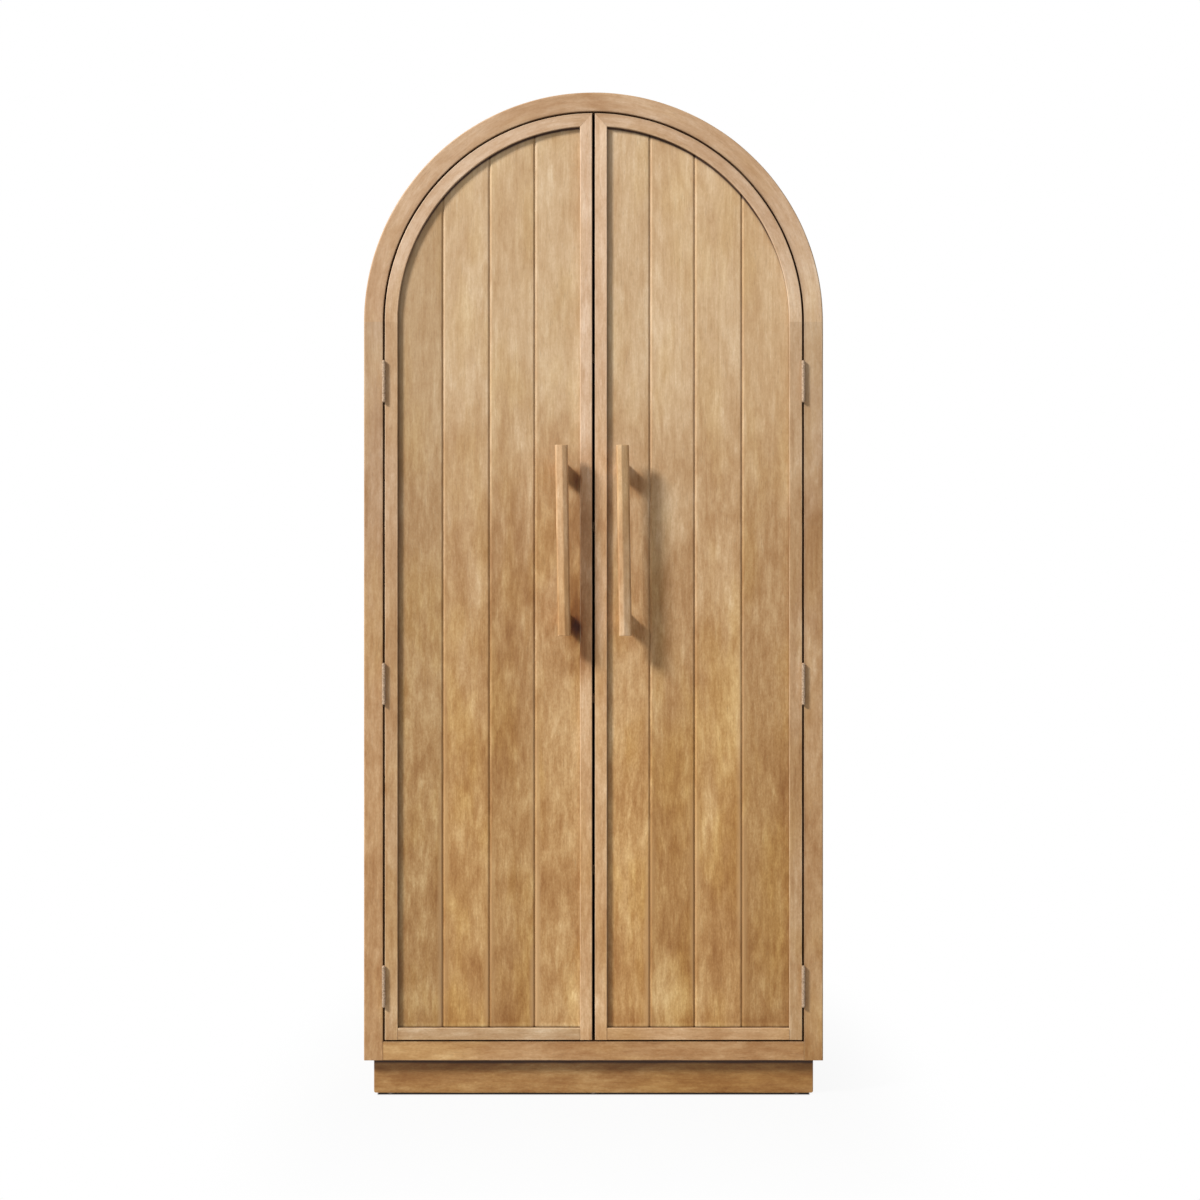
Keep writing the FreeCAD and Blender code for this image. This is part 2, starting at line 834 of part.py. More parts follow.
def hinge_stile():
    stile = upright(
        door_inner_x, door_outer_x, face_y, door_back_y, door_bottom_z, spring_z,
        (door_front_ease, door_front_ease, door_back_ease, door_back_ease),
    )
    y0, y1 = door_groove_y(groove_side_gap)
    cuts = [
        block(door_inner_x - overrun, door_inner_x + groove_depth, y0, y1,
              door_bottom_z - overrun, spring_z + overrun),
        door_tongue(fit_gap),
    ]
    for z in hinge_zs:
        cuts.append(leaf_pocket(z, case_side=False))
        cuts += [leaf_screw(p, V(-1, 0, 0), hole=True) for p in leaf_screw_places(z, False)]
    return stile.cut(cuts)


def mitre_cutter(up):
    """What lies above the mitre of arch rail and inner stile, or with -1 below it.

    The mitre runs from the foot of the outer eased edge to the panel's corner.
    """
    outer = on_arch(door_outer_x - door_front_ease, meeting_x, face_y - overrun)
    inner = on_arch(door_inner_x, panel_x, face_y - overrun)
    along = inner - outer
    ends = [outer - along, inner + along]
    shift = V(0, 0, up * half_width)
    face = polygon(ends + [point + shift for point in reversed(ends)])
    return face.extrude(V(0, door_thickness + 2 * overrun, 0))


def meeting_stile(side):
    stile = upright(
        meeting_x, panel_x, face_y, door_back_y, door_bottom_z, spring_z + door_outer_x,
        (door_front_ease, door_front_ease, door_back_ease, door_back_ease),
    )
    y0, y1 = door_groove_y(groove_side_gap)
    groove = block(panel_x - groove_depth, panel_x + overrun, y0, y1,
                   door_bottom_z - overrun, spring_z + door_outer_x + overrun)
    stile = on_side(stile.cut([groove, mitre_cutter(1)]), side)
    return stile.cut([strike_screw(p, hole=True) for p in strike_places(side)])


def arch_rail():
    rail = arched(
        door_inner_x, door_outer_x, face_y, door_back_y, 0, quarter_turn,
        (door_front_ease, door_front_ease, door_back_ease, door_back_ease),
    )
    y0, y1 = door_groove_y(groove_side_gap)
    groove = arched(door_inner_x - overrun, door_inner_x + groove_depth, y0, y1,
                    0, quarter_turn, (0, 0, 0, 0))
    past_meeting = block(-overrun, meeting_x, face_y - overrun, door_back_y + overrun,
                         spring_z, overall_height)
    rail = rail.cut([groove, mitre_cutter(-1), past_meeting])
    return rail.fuse(door_tongue()).removeSplitter()


def door_bottom_rail():
    """The rail between the stiles; its tenons fill the stiles' grooves."""
    rail = crossbar(
        panel_x, door_inner_x, face_y, door_back_y, door_bottom_z, panel_bottom_z,
        (door_back_ease, door_back_ease, door_back_ease, door_front_ease),
    )
    y0, y1 = door_groove_y(groove_side_gap)
    groove = block(panel_x - overrun, door_inner_x + overrun, y0, y1,
                   panel_bottom_z - groove_depth, panel_bottom_z + overrun)
    t0, t1 = door_groove_y()
    tenon_top_z = panel_bottom_z - groove_depth
    tenon = block(panel_x - tongue_in_groove, door_inner_x + tongue_in_groove, t0, t1,
                  door_bottom_z + door_back_ease, tenon_top_z)
    return rail.cut(groove).fuse(tenon).removeSplitter()


# Door boards

def panel_blank(side):
    """The whole panel of one door before it is divided into boards."""
    reach = door_inner_x + tongue_in_groove
    front = domed(panel_x - tongue_in_groove, reach, panel_bottom_z - tongue_in_groove, reach,
                  panel_front_y, lip_back_y)
    inside = door_inner_x - panel_back_gap
    back = domed(panel_x + panel_back_gap, inside, panel_bottom_z + panel_back_gap, inside,
                 lip_back_y, panel_back_y)
    return on_side(front.fuse(back).removeSplitter(), side)


def board_joints(side):
    """Where one door's boards meet, from left to right."""
    left = panel_x if side > 0 else -door_inner_x
    shares = right_joint_shares if side > 0 else left_joint_shares
    return [left + panel_width * share for share in shares]


def board_section(side, index):
    """A board's outline seen from above, with its vee edges, tongue and groove."""
    joints = board_joints(side)
    tongue_y0 = panel_front_y + board_vee + board_tongue_below_vee
    tongue_y1 = tongue_y0 + board_tongue_thickness
    front = panel_front_y - overrun
    back = panel_back_y + overrun
    half = board_joint_gap / 2
    points = []
    if index > 0:
        x = joints[index - 1] + half
        deep = x + board_tongue + board_groove_gap
        points += [
            (x, back), (x, tongue_y1 + board_groove_gap), (deep, tongue_y1 + board_groove_gap),
            (deep, tongue_y0 - board_groove_gap), (x, tongue_y0 - board_groove_gap),
            (x, panel_front_y + board_vee), (x + board_vee + overrun, front),
        ]
    else:
        x = -half_width if side < 0 else 0
        points += [(x, back), (x, front)]
    if index < boards_per_door - 1:
        x = joints[index] - half
        tip = x + board_tongue + board_joint_gap
        points += [
            (x - board_vee - overrun, front), (x, panel_front_y + board_vee),
            (x, tongue_y0), (tip, tongue_y0), (tip, tongue_y1), (x, tongue_y1), (x, back),
        ]
    else:
        x = 0 if side < 0 else half_width
        points += [(x, front), (x, back)]
    return polygon([V(x, y, 0) for x, y in points])


def board(side, index):
    strip = board_section(side, index).extrude(V(0, 0, overall_height))
    piece = panel_blank(side).common(strip)
    return piece.cut(handle_screw_holes(side))


# Handles

def handle_frame(side):
    """The place of a handle: both lean the same way, foot to the right."""
    turn = FreeCAD.Rotation(V(0, 1, 0), -handle_lean)
    return FreeCAD.Placement(V(side * handle_from_centre, panel_front_y, handle_centre_z), turn)


def placed(shape, side):
    moved = shape.copy()
    moved.Placement = handle_frame(side).multiply(moved.Placement)
    return moved


def post_zs():
    return [way * post_spacing / 2 - post_drop for way in (-1, 1)]


def bar_section(z):
    """The bar seen from its end: wide facets in front, small ones behind."""
    w = bar_width / 2
    y0 = -post_length - bar_depth
    y1 = -post_length
    front = bar_front_facet
    back = bar_back_facet
    outline = [(-w + front, y0), (w - front, y0), (w, y0 + front), (w, y1 - back),
               (w - back, y1), (-w + back, y1), (-w, y1 - back), (-w, y0 + front)]
    return polygon([V(x, y, z) for x, y in outline])


def handle_bar(side):
    half = bar_length / 2
    bar = bar_section(-half).extrude(V(0, 0, bar_length))
    ends = [e for e in bar.Edges if abs(abs(e.CenterOfMass.z) - half) < bar_end_ease]
    bar = bar.makeFillet(bar_end_ease, ends)
    for z in post_zs():
        start = V(0, overrun - post_length, z)
        depth = handle_screw_in_bar + overrun + fit_gap
        bar = bar.cut(Part.makeCylinder(handle_screw_radius + fit_gap, depth, start, V(0, -1, 0)))
    return placed(bar, side)


def handle_posts(side):
    posts = []
    for z in post_zs():
        post = upright(-post_width / 2, post_width / 2, -post_length, 0,
                       z - post_height / 2, z + post_height / 2,
                       (post_edge_ease, post_edge_ease, post_edge_ease, post_edge_ease))
        bore = Part.makeCylinder(handle_screw_radius + fit_gap, post_length + 2 * overrun,
                                 V(0, overrun, z), V(0, -1, 0))
        posts.append(placed(post.cut(bore), side))
    return group(posts)


def handle_screws(side):
    """Screws from behind the board, through each post and into the bar."""
    board_thickness = panel_back_y - panel_front_y
    screws = []
    for z in post_zs():
        seat = V(0, board_thickness, z)
        shaft = Part.makeCylinder(handle_screw_radius, board_thickness + post_length + handle_screw_in_bar,
                                  seat, V(0, -1, 0))
        head = Part.makeCylinder(handle_screw_head_radius, handle_screw_head_height, seat, V(0, 1, 0))
        crown = seat + V(0, handle_screw_head_height, 0)
        rim = [e for e in head.Edges if e.Closed and e.CenterOfMass.y > (seat.y + crown.y) / 2]
        head = head.makeFillet(handle_screw_head_ease, rim)
        screw = shaft.fuse(head).removeSplitter()
        screw = screw.cut(cross_recess(crown, V(0, -1, 0), handle_screw_head_radius))
        screws.append(placed(screw, side))
    return group(screws)


def handle_screw_holes(side):
    """The holes that the screws need in the board."""
    board_thickness = panel_back_y - panel_front_y
    holes = []
    for z in post_zs():
        start = V(0, board_thickness + overrun, z)
        hole = Part.makeCylinder(handle_screw_radius + fit_gap, board_thickness + 2 * overrun,
                                 start, V(0, -1, 0))
        holes.append(placed(hole, side))
    return group(holes)


# The whole object

def case_nodes():
    """Every piece that stays still, by name."""
    nodes = {
        "barrel_top": barrel_top(),
        "case_floor": case_floor(),
        "back_panel": back_panel(),
        "wall_fixing_rail": wall_fixing_rail(),
        "face_bottom_rail": face_bottom_rail(),
        "plinth_front": plinth_front(),
        "plinth_rear": plinth_rear(),
        "plinth_corner_blocks": plinth_corner_blocks(),
        "floor_glides": floor_glides(),
        "fixed_shelf": fixed_shelf(),
        "shelf_pins": shelf_pins(),
        "magnetic_catches": magnetic_catches(),
        "catch_screws": catch_screws(),
        "hinge_pins": hinge_pins(),
        "case_hinge_screws": case_hinge_screws(),
        "back_panel_screws": group([
            wood_screw(p, V(0, -1, 0), back_screw_radius, back_screw_head_radius, back_screw_length)
            for p in back_screw_places()
        ]),
    }
    for index in range(arch_segments):
        nodes["face_arch_segment_" + str(index + 1)] = face_segment(index)
    for index, z in enumerate(loose_shelf_zs):
        nodes["loose_shelf_" + str(index + 1)] = loose_shelf(z)
    for name, side in (("left", -1), ("right", 1)):
        nodes[name + "_side_panel"] = on_side(side_panel(), side)
        nodes[name + "_face_stile"] = on_side(face_stile(), side)
        nodes["plinth_" + name] = on_side(plinth_end(), side)
        nodes[name + "_case_hinge_leaves"] = hinge_leaves(side, True)
    return nodes


def door_nodes(name, side):
    """Every piece of one door, by name."""
    nodes = {
        "hinge_stile": on_side(hinge_stile(), side),
        "meeting_stile": meeting_stile(side),
        "bottom_rail": on_side(door_bottom_rail(), side),
        "arch_rail": on_side(arch_rail(), side),
        "handle_bar": handle_bar(side),
        "handle_posts": handle_posts(side),
        "handle_screws": handle_screws(side),
        "strike_plates": strike_plates(side),
        "hinge_leaves": hinge_leaves(side, False),
        "screws": door_screws(side),
    }
    for index in range(boards_per_door):
        nodes["board_" + str(index + 1)] = board(side, index)
    return {name + "_door_" + key: shape for key, shape in nodes.items()}


def build():
    os.makedirs("parts", exist_ok=True)
    nodes = case_nodes()
    nodes.update(door_nodes("left", -1))
    nodes.update(door_nodes("right", 1))
    for name, shape in sorted(nodes.items()):
        for solid in shape.Solids:
            if not solid.isValid() or solid.Volume <= 0:
                print("check", name, solid.isValid(), solid.Volume)
        shape.exportStep("parts/" + name + ".step")
    print(len(nodes), "nodes")


build()
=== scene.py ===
import json
import math

import bmesh
import bpy
from mathutils import Matrix, Vector, noise

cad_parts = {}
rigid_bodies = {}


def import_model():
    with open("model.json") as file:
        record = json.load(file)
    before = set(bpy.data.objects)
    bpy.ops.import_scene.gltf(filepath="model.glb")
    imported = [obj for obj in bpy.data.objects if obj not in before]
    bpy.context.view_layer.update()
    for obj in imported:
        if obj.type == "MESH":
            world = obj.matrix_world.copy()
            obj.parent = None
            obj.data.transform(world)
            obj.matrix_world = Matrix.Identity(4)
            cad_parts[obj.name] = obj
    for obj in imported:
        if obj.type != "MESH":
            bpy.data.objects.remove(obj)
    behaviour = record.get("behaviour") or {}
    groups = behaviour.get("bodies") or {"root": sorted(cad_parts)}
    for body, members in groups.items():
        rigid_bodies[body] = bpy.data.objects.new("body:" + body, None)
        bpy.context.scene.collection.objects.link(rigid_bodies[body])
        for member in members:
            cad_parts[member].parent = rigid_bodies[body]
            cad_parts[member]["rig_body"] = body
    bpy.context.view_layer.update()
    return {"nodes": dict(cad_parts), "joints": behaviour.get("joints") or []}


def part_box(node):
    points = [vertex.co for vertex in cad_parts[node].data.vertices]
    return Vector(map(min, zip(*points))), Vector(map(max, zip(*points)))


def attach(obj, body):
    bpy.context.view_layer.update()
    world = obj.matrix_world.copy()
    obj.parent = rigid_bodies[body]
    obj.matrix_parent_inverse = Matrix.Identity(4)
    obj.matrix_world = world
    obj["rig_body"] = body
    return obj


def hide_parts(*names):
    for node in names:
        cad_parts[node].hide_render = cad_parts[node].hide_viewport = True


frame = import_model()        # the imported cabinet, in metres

nodes = frame["nodes"]
scene = bpy.context.scene
mm = 0.001

# faces and edges of the cabinet, read from the frame
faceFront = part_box("left_face_stile")[0].y
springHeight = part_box("left_face_stile")[1].z
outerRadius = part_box("right_side_panel")[1].x
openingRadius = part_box("right_face_stile")[0].x
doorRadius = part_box("right_door_hinge_stile")[1].x
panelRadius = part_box("right_door_hinge_stile")[0].x
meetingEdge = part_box("right_door_meeting_stile")[0].x
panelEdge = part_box("right_door_meeting_stile")[1].x
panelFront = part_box("left_door_board_2")[0].y
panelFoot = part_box("right_door_bottom_rail")[1].z
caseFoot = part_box("left_face_stile")[0].z
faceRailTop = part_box("face_bottom_rail")[1].z
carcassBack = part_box("left_side_panel")[1].y


# camera: square on to the front, aimed at the photograph's middle
view = {
    "aimX": 0.0141, "aimZ": 1.0795, "distance": 4.5,
    "pixelsPerMetre": 459.49, "picture": 1200, "sensor": 36,
}
camera = bpy.data.cameras.new("frontCamera")
camera.sensor_width = view["sensor"]
camera.lens = view["sensor"] * view["distance"] * view["pixelsPerMetre"] / view["picture"]
cameraObject = bpy.data.objects.new("frontCamera", camera)
cameraObject.location = (view["aimX"], faceFront - view["distance"], view["aimZ"])
cameraObject.rotation_euler = (math.radians(90), 0, 0)
scene.collection.objects.link(cameraObject)
scene.camera = cameraObject

# one soft lamp high on the left; sky is the strength of the white room
light = {
    "towards": Vector((-1.46, -1.0, 1.36)), "aim": Vector((0, -0.2, 1.15)),
    "away": 12.0, "size": 2.3, "power": 1650, "sky": 0.32,
}
lampPlace = light["aim"] + light["towards"].normalized() * light["away"]
lamp = bpy.data.lights.new("keyLamp", "AREA")
lamp.shape = "DISK"
lamp.size = light["size"]
lamp.energy = light["power"]
lampObject = bpy.data.objects.new("keyLamp", lamp)
lampObject.location = lampPlace
lampObject.rotation_euler = (light["aim"] - lampPlace).to_track_quat("-Z", "Y").to_euler()
scene.collection.objects.link(lampObject)
print("camera and lamp placed")


# short ways to wire shader nodes
def addNode(tree, kind, inputs=None, **settings):
    node = tree.nodes.new(kind)
    for key, value in settings.items():
        setattr(node, key, value)
    for key, value in (inputs or {}).items():
        plug(tree, node.inputs[key], value)
    return node


def plug(tree, socket, value):
    if isinstance(value, bpy.types.NodeSocket):
        tree.links.new(value, socket)
    else:
        socket.default_value = value


def calc(tree, operation, *values, clamp=False):
    node = addNode(tree, "ShaderNodeMath", operation=operation, use_clamp=clamp)
    for place, value in enumerate(values):
        plug(tree, node.inputs[place], value)
    return node.outputs[0]


def combine(tree, operation, values):
    total = values[0]
    for value in values[1:]:
        total = calc(tree, operation, total, value)
    return total


def vectorCalc(tree, operation, *values):
    node = addNode(tree, "ShaderNodeVectorMath", operation=operation)
    for place, value in enumerate(values):
        plug(tree, node.inputs[place], value)
    return node.outputs["Value"] if operation == "LENGTH" else node.outputs[0]


def remap(tree, value, fromLow, fromHigh, toLow=0.0, toHigh=1.0, smooth=False):
    node = addNode(tree, "ShaderNodeMapRange",
                   interpolation_type="SMOOTHSTEP" if smooth else "LINEAR")
    for place, entry in enumerate((value, fromLow, fromHigh, toLow, toHigh)):
        plug(tree, node.inputs[place], entry)
    return node.outputs[0]


def swing(tree, value, size):        # a noise value as a swing about zero
    return calc(tree, "MULTIPLY_ADD", value, 2 * size, -size)


def noiseOf(tree, vector, stretch, detail=2.0, roughness=0.5, distortion=0.0):
    pulled = vectorCalc(tree, "MULTIPLY", vector, stretch)
    node = addNode(tree, "ShaderNodeTexNoise", {
        "Vector": pulled, "Scale": 1.0, "Detail": detail, "Roughness": roughness,
        "Distortion": distortion})
    return node.outputs[0]


def mixed(tree, factor, first, second, blend="MIX"):
    node = addNode(tree, "ShaderNodeMix", data_type="RGBA", blend_type=blend)
    plug(tree, node.inputs[0], factor)
    plug(tree, node.inputs[6], first)
    plug(tree, node.inputs[7], second)
    return node.outputs[2]


def grey(tree, value):
    return addNode(tree, "ShaderNodeCombineColor",
                   {"Red": value, "Green": value, "Blue": value}).outputs[0]


def newGroup(name, inputs, outputs):
    group = bpy.data.node_groups.new(name, "ShaderNodeTree")
    for label, kind in inputs:
        group.interface.new_socket(name=label, in_out="INPUT", socket_type="NodeSocket" + kind)
    for label, kind in outputs:
        group.interface.new_socket(name=label, in_out="OUTPUT", socket_type="NodeSocket" + kind)
    start = group.nodes.new("NodeGroupInput")
    end = group.nodes.new("NodeGroupOutput")
    return group, start.outputs, end.inputs


def placeGroup(tree, group, values):
    node = addNode(tree, "ShaderNodeGroup", node_tree=group)
    for label, value in values.items():
        plug(tree, node.inputs[label], value)
    return node.outputs


def newMaterial(name):
    material = bpy.data.materials.new(name)
    material.use_nodes = True
    material.node_tree.nodes.clear()
    return material


# washed wood: a brown wash of uneven depth over a pale ground, golden patches, grain and pores, with painted
# shade laid in through the glaze and the wash's depth
def makeWoodGroup():
    group, given, result = newGroup(
        "washedWood",
        [("Place", "Vector"), ("Seed", "Float"), ("Edge", "Float"), ("Fade", "Float"),
         ("GlazeAndShadeShare", "Float"), ("GrimeAndShade", "Float"), ("Ground", "Color"), ("Wash", "Color"),
         ("Gold", "Color"), ("GlazeAndShade", "Color"), ("Rubbed", "Color"),
         ("Mottle", "Float"), ("Grain", "Float"), ("GoldShare", "Float")],
        [("Color", "Color"), ("Roughness", "Float"), ("Height", "Float")])
    drift = vectorCalc(group, "MULTIPLY", (3.7, 1.9, 5.3), grey(group, given["Seed"]))
    place = vectorCalc(group, "ADD", given["Place"], drift)
    swayed = swing(group, noiseOf(group, place, (3.0, 3.0, 0.55), 2), 0.03)
    bend = addNode(group, "ShaderNodeCombineXYZ", {"X": swayed, "Y": swayed}).outputs[0]
    bent = vectorCalc(group, "ADD", place, bend)

    clouds = noiseOf(group, place, (9, 9, 3.6), 3, 0.55, 0.4)
    blots = noiseOf(group, bent, (36, 36, 10), 3, 0.6, 0.4)
    specks = noiseOf(group, bent, (100, 100, 26), 3, 0.6, 0.2)
    crumbs = noiseOf(group, place, (270, 270, 150), 2, 0.6)
    streak = noiseOf(group, bent, (150, 150, 5), 3, 0.6)
    fibre = noiseOf(group, bent, (480, 480, 22), 3, 0.65)
    rings = noiseOf(group, bent, (22, 22, 0.7), 1)
    rings = calc(group, "SINE", calc(group, "MULTIPLY", rings, 34.0))
    pores = remap(group, noiseOf(group, bent, (700, 700, 46), 1), 0.62, 0.76)
    aside = vectorCalc(group, "ADD", place, (9.1, 4.3, 2.7))
    patches = noiseOf(group, aside, (11, 11, 3.2), 3, 0.55)

    # depth of the wash: 0 is the ground colour, and 1 the wash's full colour over it
    mottle = combine(group, "ADD", [swing(group, clouds, 0.55), swing(group, blots, 0.5),
                                    swing(group, specks, 0.4), swing(group, crumbs, 0.25)])
    grain = combine(group, "ADD", [swing(group, streak, 0.5), swing(group, fibre, 0.45),
                                   calc(group, "MULTIPLY", rings, 0.07)])
    # the grime input deepens the wash: smudges and stains, and painted shadow beside the handle bars and
    # posts
    grimeAndShadeDepth = calc(group, "MULTIPLY", given["GrimeAndShade"], remap(group, blots, 0.30, 0.66, 0.55, 1.35))
    depth = combine(group, "ADD", [calc(group, "MULTIPLY", mottle, given["Mottle"]),
                                   calc(group, "MULTIPLY", grain, given["Grain"]), grimeAndShadeDepth])
    wash = addNode(group, "ShaderNodeSeparateColor", {0: given["Wash"]}).outputs
    tint = addNode(group, "ShaderNodeCombineColor", {
        "Red": calc(group, "POWER", wash[0], depth), "Green": calc(group, "POWER", wash[1], depth),
        "Blue": calc(group, "POWER", wash[2], depth)}).outputs[0]
    colour = mixed(group, 1.0, given["Ground"], tint, "MULTIPLY")
    golden = calc(group, "MULTIPLY", remap(group, patches, 0.44, 0.66, smooth=True), given["GoldShare"],
                  clamp=True)
    colour = mixed(group, golden, colour, mixed(group, 1.0, colour, given["Gold"], "MULTIPLY"))
    colour = mixed(group, calc(group, "MULTIPLY", pores, 0.16), colour, given["GlazeAndShade"])

    # arrises are rubbed back to paler wood here and there; glaze stays in the hollows, and the same dark
    # colour paints the shade in recesses, along gaps and under the case
    breakUp = remap(group, noiseOf(group, place, (55, 55, 16), 3, 0.6), 0.34, 0.60)
    rubbed = calc(group, "MULTIPLY", given["Edge"], breakUp, clamp=True)
    bare = remap(group, noiseOf(group, place, (17, 17, 3.4), 2, 0.5), 0.40, 0.56, smooth=True)
    faded = mixed(group, 1.0, given["Ground"], (1.12, 1.22, 1.45, 1), "MULTIPLY")
    colour = mixed(group, calc(group, "MULTIPLY", given["Fade"], bare), colour, faded)
    colour = mixed(group, rubbed, colour, given["Rubbed"])
    thick = remap(group, blots, 0.30, 0.62, 0.70, 1.0)
    colour = mixed(group, calc(group, "MULTIPLY", given["GlazeAndShadeShare"], thick, clamp=True), colour, given["GlazeAndShade"])
    plug(group, result["Color"], colour)

    gloss = calc(group, "MULTIPLY_ADD", blots, 0.16, 0.46)
    gloss = calc(group, "MULTIPLY_ADD", pores, 0.12, gloss)
    plug(group, result["Roughness"], calc(group, "MULTIPLY_ADD", rubbed, -0.05, gloss, clamp=True))
    height = calc(group, "MULTIPLY_ADD", streak, 0.4, calc(group, "MULTIPLY", fibre, 0.3))
    height = calc(group, "MULTIPLY_ADD", pores, -0.5, height)
    plug(group, result["Height"], calc(group, "MULTIPLY_ADD", specks, 0.4, height))
    return group


# a mask along the arrises of a box, whose low and high corners are given in the way Place is
def makeEdgeGroup():
    group, given, result = newGroup(
        "arrisMask", [("Place", "Vector"), ("Low", "Vector"), ("High", "Vector"), ("Width", "Float"),
                      ("FadeWidth", "Float")],
        [("Edge", "Float"), ("Fade", "Float")])
    fromLow = vectorCalc(group, "SUBTRACT", given["Place"], given["Low"])
    fromHigh = vectorCalc(group, "SUBTRACT", given["High"], given["Place"])
    near = addNode(group, "ShaderNodeSeparateXYZ",
                   {0: vectorCalc(group, "MINIMUM", fromLow, fromHigh)}).outputs
    lesser = calc(group, "MINIMUM", near[0], near[1])
    greater = calc(group, "MAXIMUM", near[0], near[1])
    second = calc(group, "MAXIMUM", lesser, calc(group, "MINIMUM", greater, near[2]))
    for label, width in (("Edge", "Width"), ("Fade", "FadeWidth")):
        share = calc(group, "DIVIDE", second, given[width])
        plug(group, result[label], remap(group, share, 1.0, 0.0, smooth=True))
    return group


# heights over a field's foot, and for its crown over the spring line
fieldHeights = {"shadeFrom": -4 * mm, "smudgeFrom": 4 * mm, "smudgeFull": 13 * mm, "smudgeThin": 15 * mm,
                "smudgeEnd": 52 * mm, "crownFrom": 100 * mm, "crownFull": 380 * mm}


# painted shade along the outline of an arched field, where a frame's shadow falls and the gaps are dark, and
# a smudge above its foot: panels and openings
def makeFieldGroup():
    group, given, result = newGroup(
        "archedField", [("Place", "Vector"), ("Inner", "Float"), ("Radius", "Float"), ("Foot", "Float"),
                        ("Reach", "Float"), ("CrownReach", "Float"), ("FootReach", "Float"),
                        ("SideShare", "Float"), ("InnerShare", "Float"), ("FootShare", "Float"),
                        ("CrownShare", "Float")],
        [("Line", "Float"), ("Smudge", "Float")])
    parts = addNode(group, "ShaderNodeSeparateXYZ", {0: given["Place"]}).outputs
    rise = calc(group, "MAXIMUM", calc(group, "SUBTRACT", parts[2], springHeight), 0.0)
    radius = calc(group, "SQRT", calc(group, "MULTIPLY_ADD", parts[0], parts[0],
                                      calc(group, "MULTIPLY", rise, rise)))
    fromRim = calc(group, "ABSOLUTE", calc(group, "SUBTRACT", given["Radius"], radius))
    across = calc(group, "ABSOLUTE", parts[0])
    fromInner = calc(group, "ABSOLUTE", calc(group, "SUBTRACT", across, given["Inner"]))
    inside = calc(group, "LESS_THAN", across, given["Radius"])
    fromFoot = calc(group, "SUBTRACT", parts[2], given["Foot"])
    above = remap(group, fromFoot, fieldHeights["shadeFrom"], 0.0)
    high = remap(group, rise, fieldHeights["crownFrom"], fieldHeights["crownFull"], smooth=True)

    def line(distance, reach, *shares):
        fall = calc(group, "EXPONENT", calc(group, "MULTIPLY", calc(group, "DIVIDE", distance, reach), -1.0))
        return combine(group, "MULTIPLY", [fall, *shares])

    lines = [line(fromRim, given["Reach"], given["SideShare"], above),
             line(fromRim, given["CrownReach"], given["CrownShare"], high),
             line(fromInner, given["Reach"], given["InnerShare"], above),
             line(calc(group, "ABSOLUTE", fromFoot), given["FootReach"], given["FootShare"], inside)]
    plug(group, result["Line"], combine(group, "MAXIMUM", lines))
    rising = remap(group, fromFoot, fieldHeights["smudgeFrom"], fieldHeights["smudgeFull"],
                   -1.0, 0.5, smooth=True)
    falling = remap(group, fromFoot, fieldHeights["smudgeThin"], fieldHeights["smudgeEnd"],
                    1.0, 0.0, smooth=True)
    plug(group, result["Smudge"], calc(group, "MULTIPLY", rising, falling))
    return group


# places on the front where the wash is deeper, or thinner: stains and worn patches, and painted shadow of the
# handle bars and posts; wide and tall are how far each reaches from its middle
grimeAndShadeSpots = (
    {"x": 0.000, "z": 1.280, "wide": 1.200, "tall": 0.360, "share": 0.09},
    {"x": 0.000, "z": 0.840, "wide": 0.900, "tall": 0.220, "share": -0.08},
    {"x": -0.085, "z": 1.200, "wide": 0.100, "tall": 0.340, "share": 0.22},
    # painted shadow: this spot darkens where the left bar's shadow falls on the meeting stile
    {"x": -0.030, "z": 1.080, "wide": 0.045, "tall": 0.320, "share": 0.55},
    {"x": -0.050, "z": 0.990, "wide": 0.080, "tall": 0.110, "share": 0.45},
    # painted shadow: these four spots darken the shadows of the handle posts
    {"x": -0.041, "z": 1.341, "wide": 0.020, "tall": 0.036, "share": 1.70},
    {"x": -0.037, "z": 1.020, "wide": 0.018, "tall": 0.032, "share": 1.70},
    {"x": 0.097, "z": 1.332, "wide": 0.034, "tall": 0.044, "share": 0.55},
    {"x": 0.103, "z": 1.016, "wide": 0.034, "tall": 0.040, "share": 0.45},
    {"x": 0.076, "z": 1.040, "wide": 0.060, "tall": 0.120, "share": 0.30},
    {"x": -0.185, "z": 1.080, "wide": 0.090, "tall": 0.450, "share": 0.22},
    {"x": -0.290, "z": 0.930, "wide": 0.100, "tall": 0.200, "share": -0.14},
    {"x": 0.273, "z": 1.270, "wide": 0.100, "tall": 0.220, "share": 0.18},
    {"x": 0.320, "z": 0.800, "wide": 0.220, "tall": 0.240, "share": -0.22},
    {"x": -0.180, "z": 0.760, "wide": 0.080, "tall": 0.170, "share": 0.28},
    {"x": 0.173, "z": 1.280, "wide": 0.060, "tall": 0.110, "share": -0.38},
    {"x": 0.373, "z": 0.500, "wide": 0.070, "tall": 0.200, "share": -0.25},
    {"x": 0.000, "z": 2.175, "wide": 0.210, "tall": 0.075, "share": 0.24},
    {"x": 0.000, "z": 0.190, "wide": 1.000, "tall": 0.090, "share": -0.14},
    {"x": -0.378, "z": 0.210, "wide": 0.090, "tall": 0.100, "share": -0.30},
    {"x": 0.173, "z": 0.210, "wide": 0.080, "tall": 0.120, "share": -0.42},
    {"x": 0.460, "z": 1.780, "wide": 0.160, "tall": 0.180, "share": -0.20},
    {"x": -0.280, "z": 2.070, "wide": 0.200, "tall": 0.170, "share": -0.18},
)


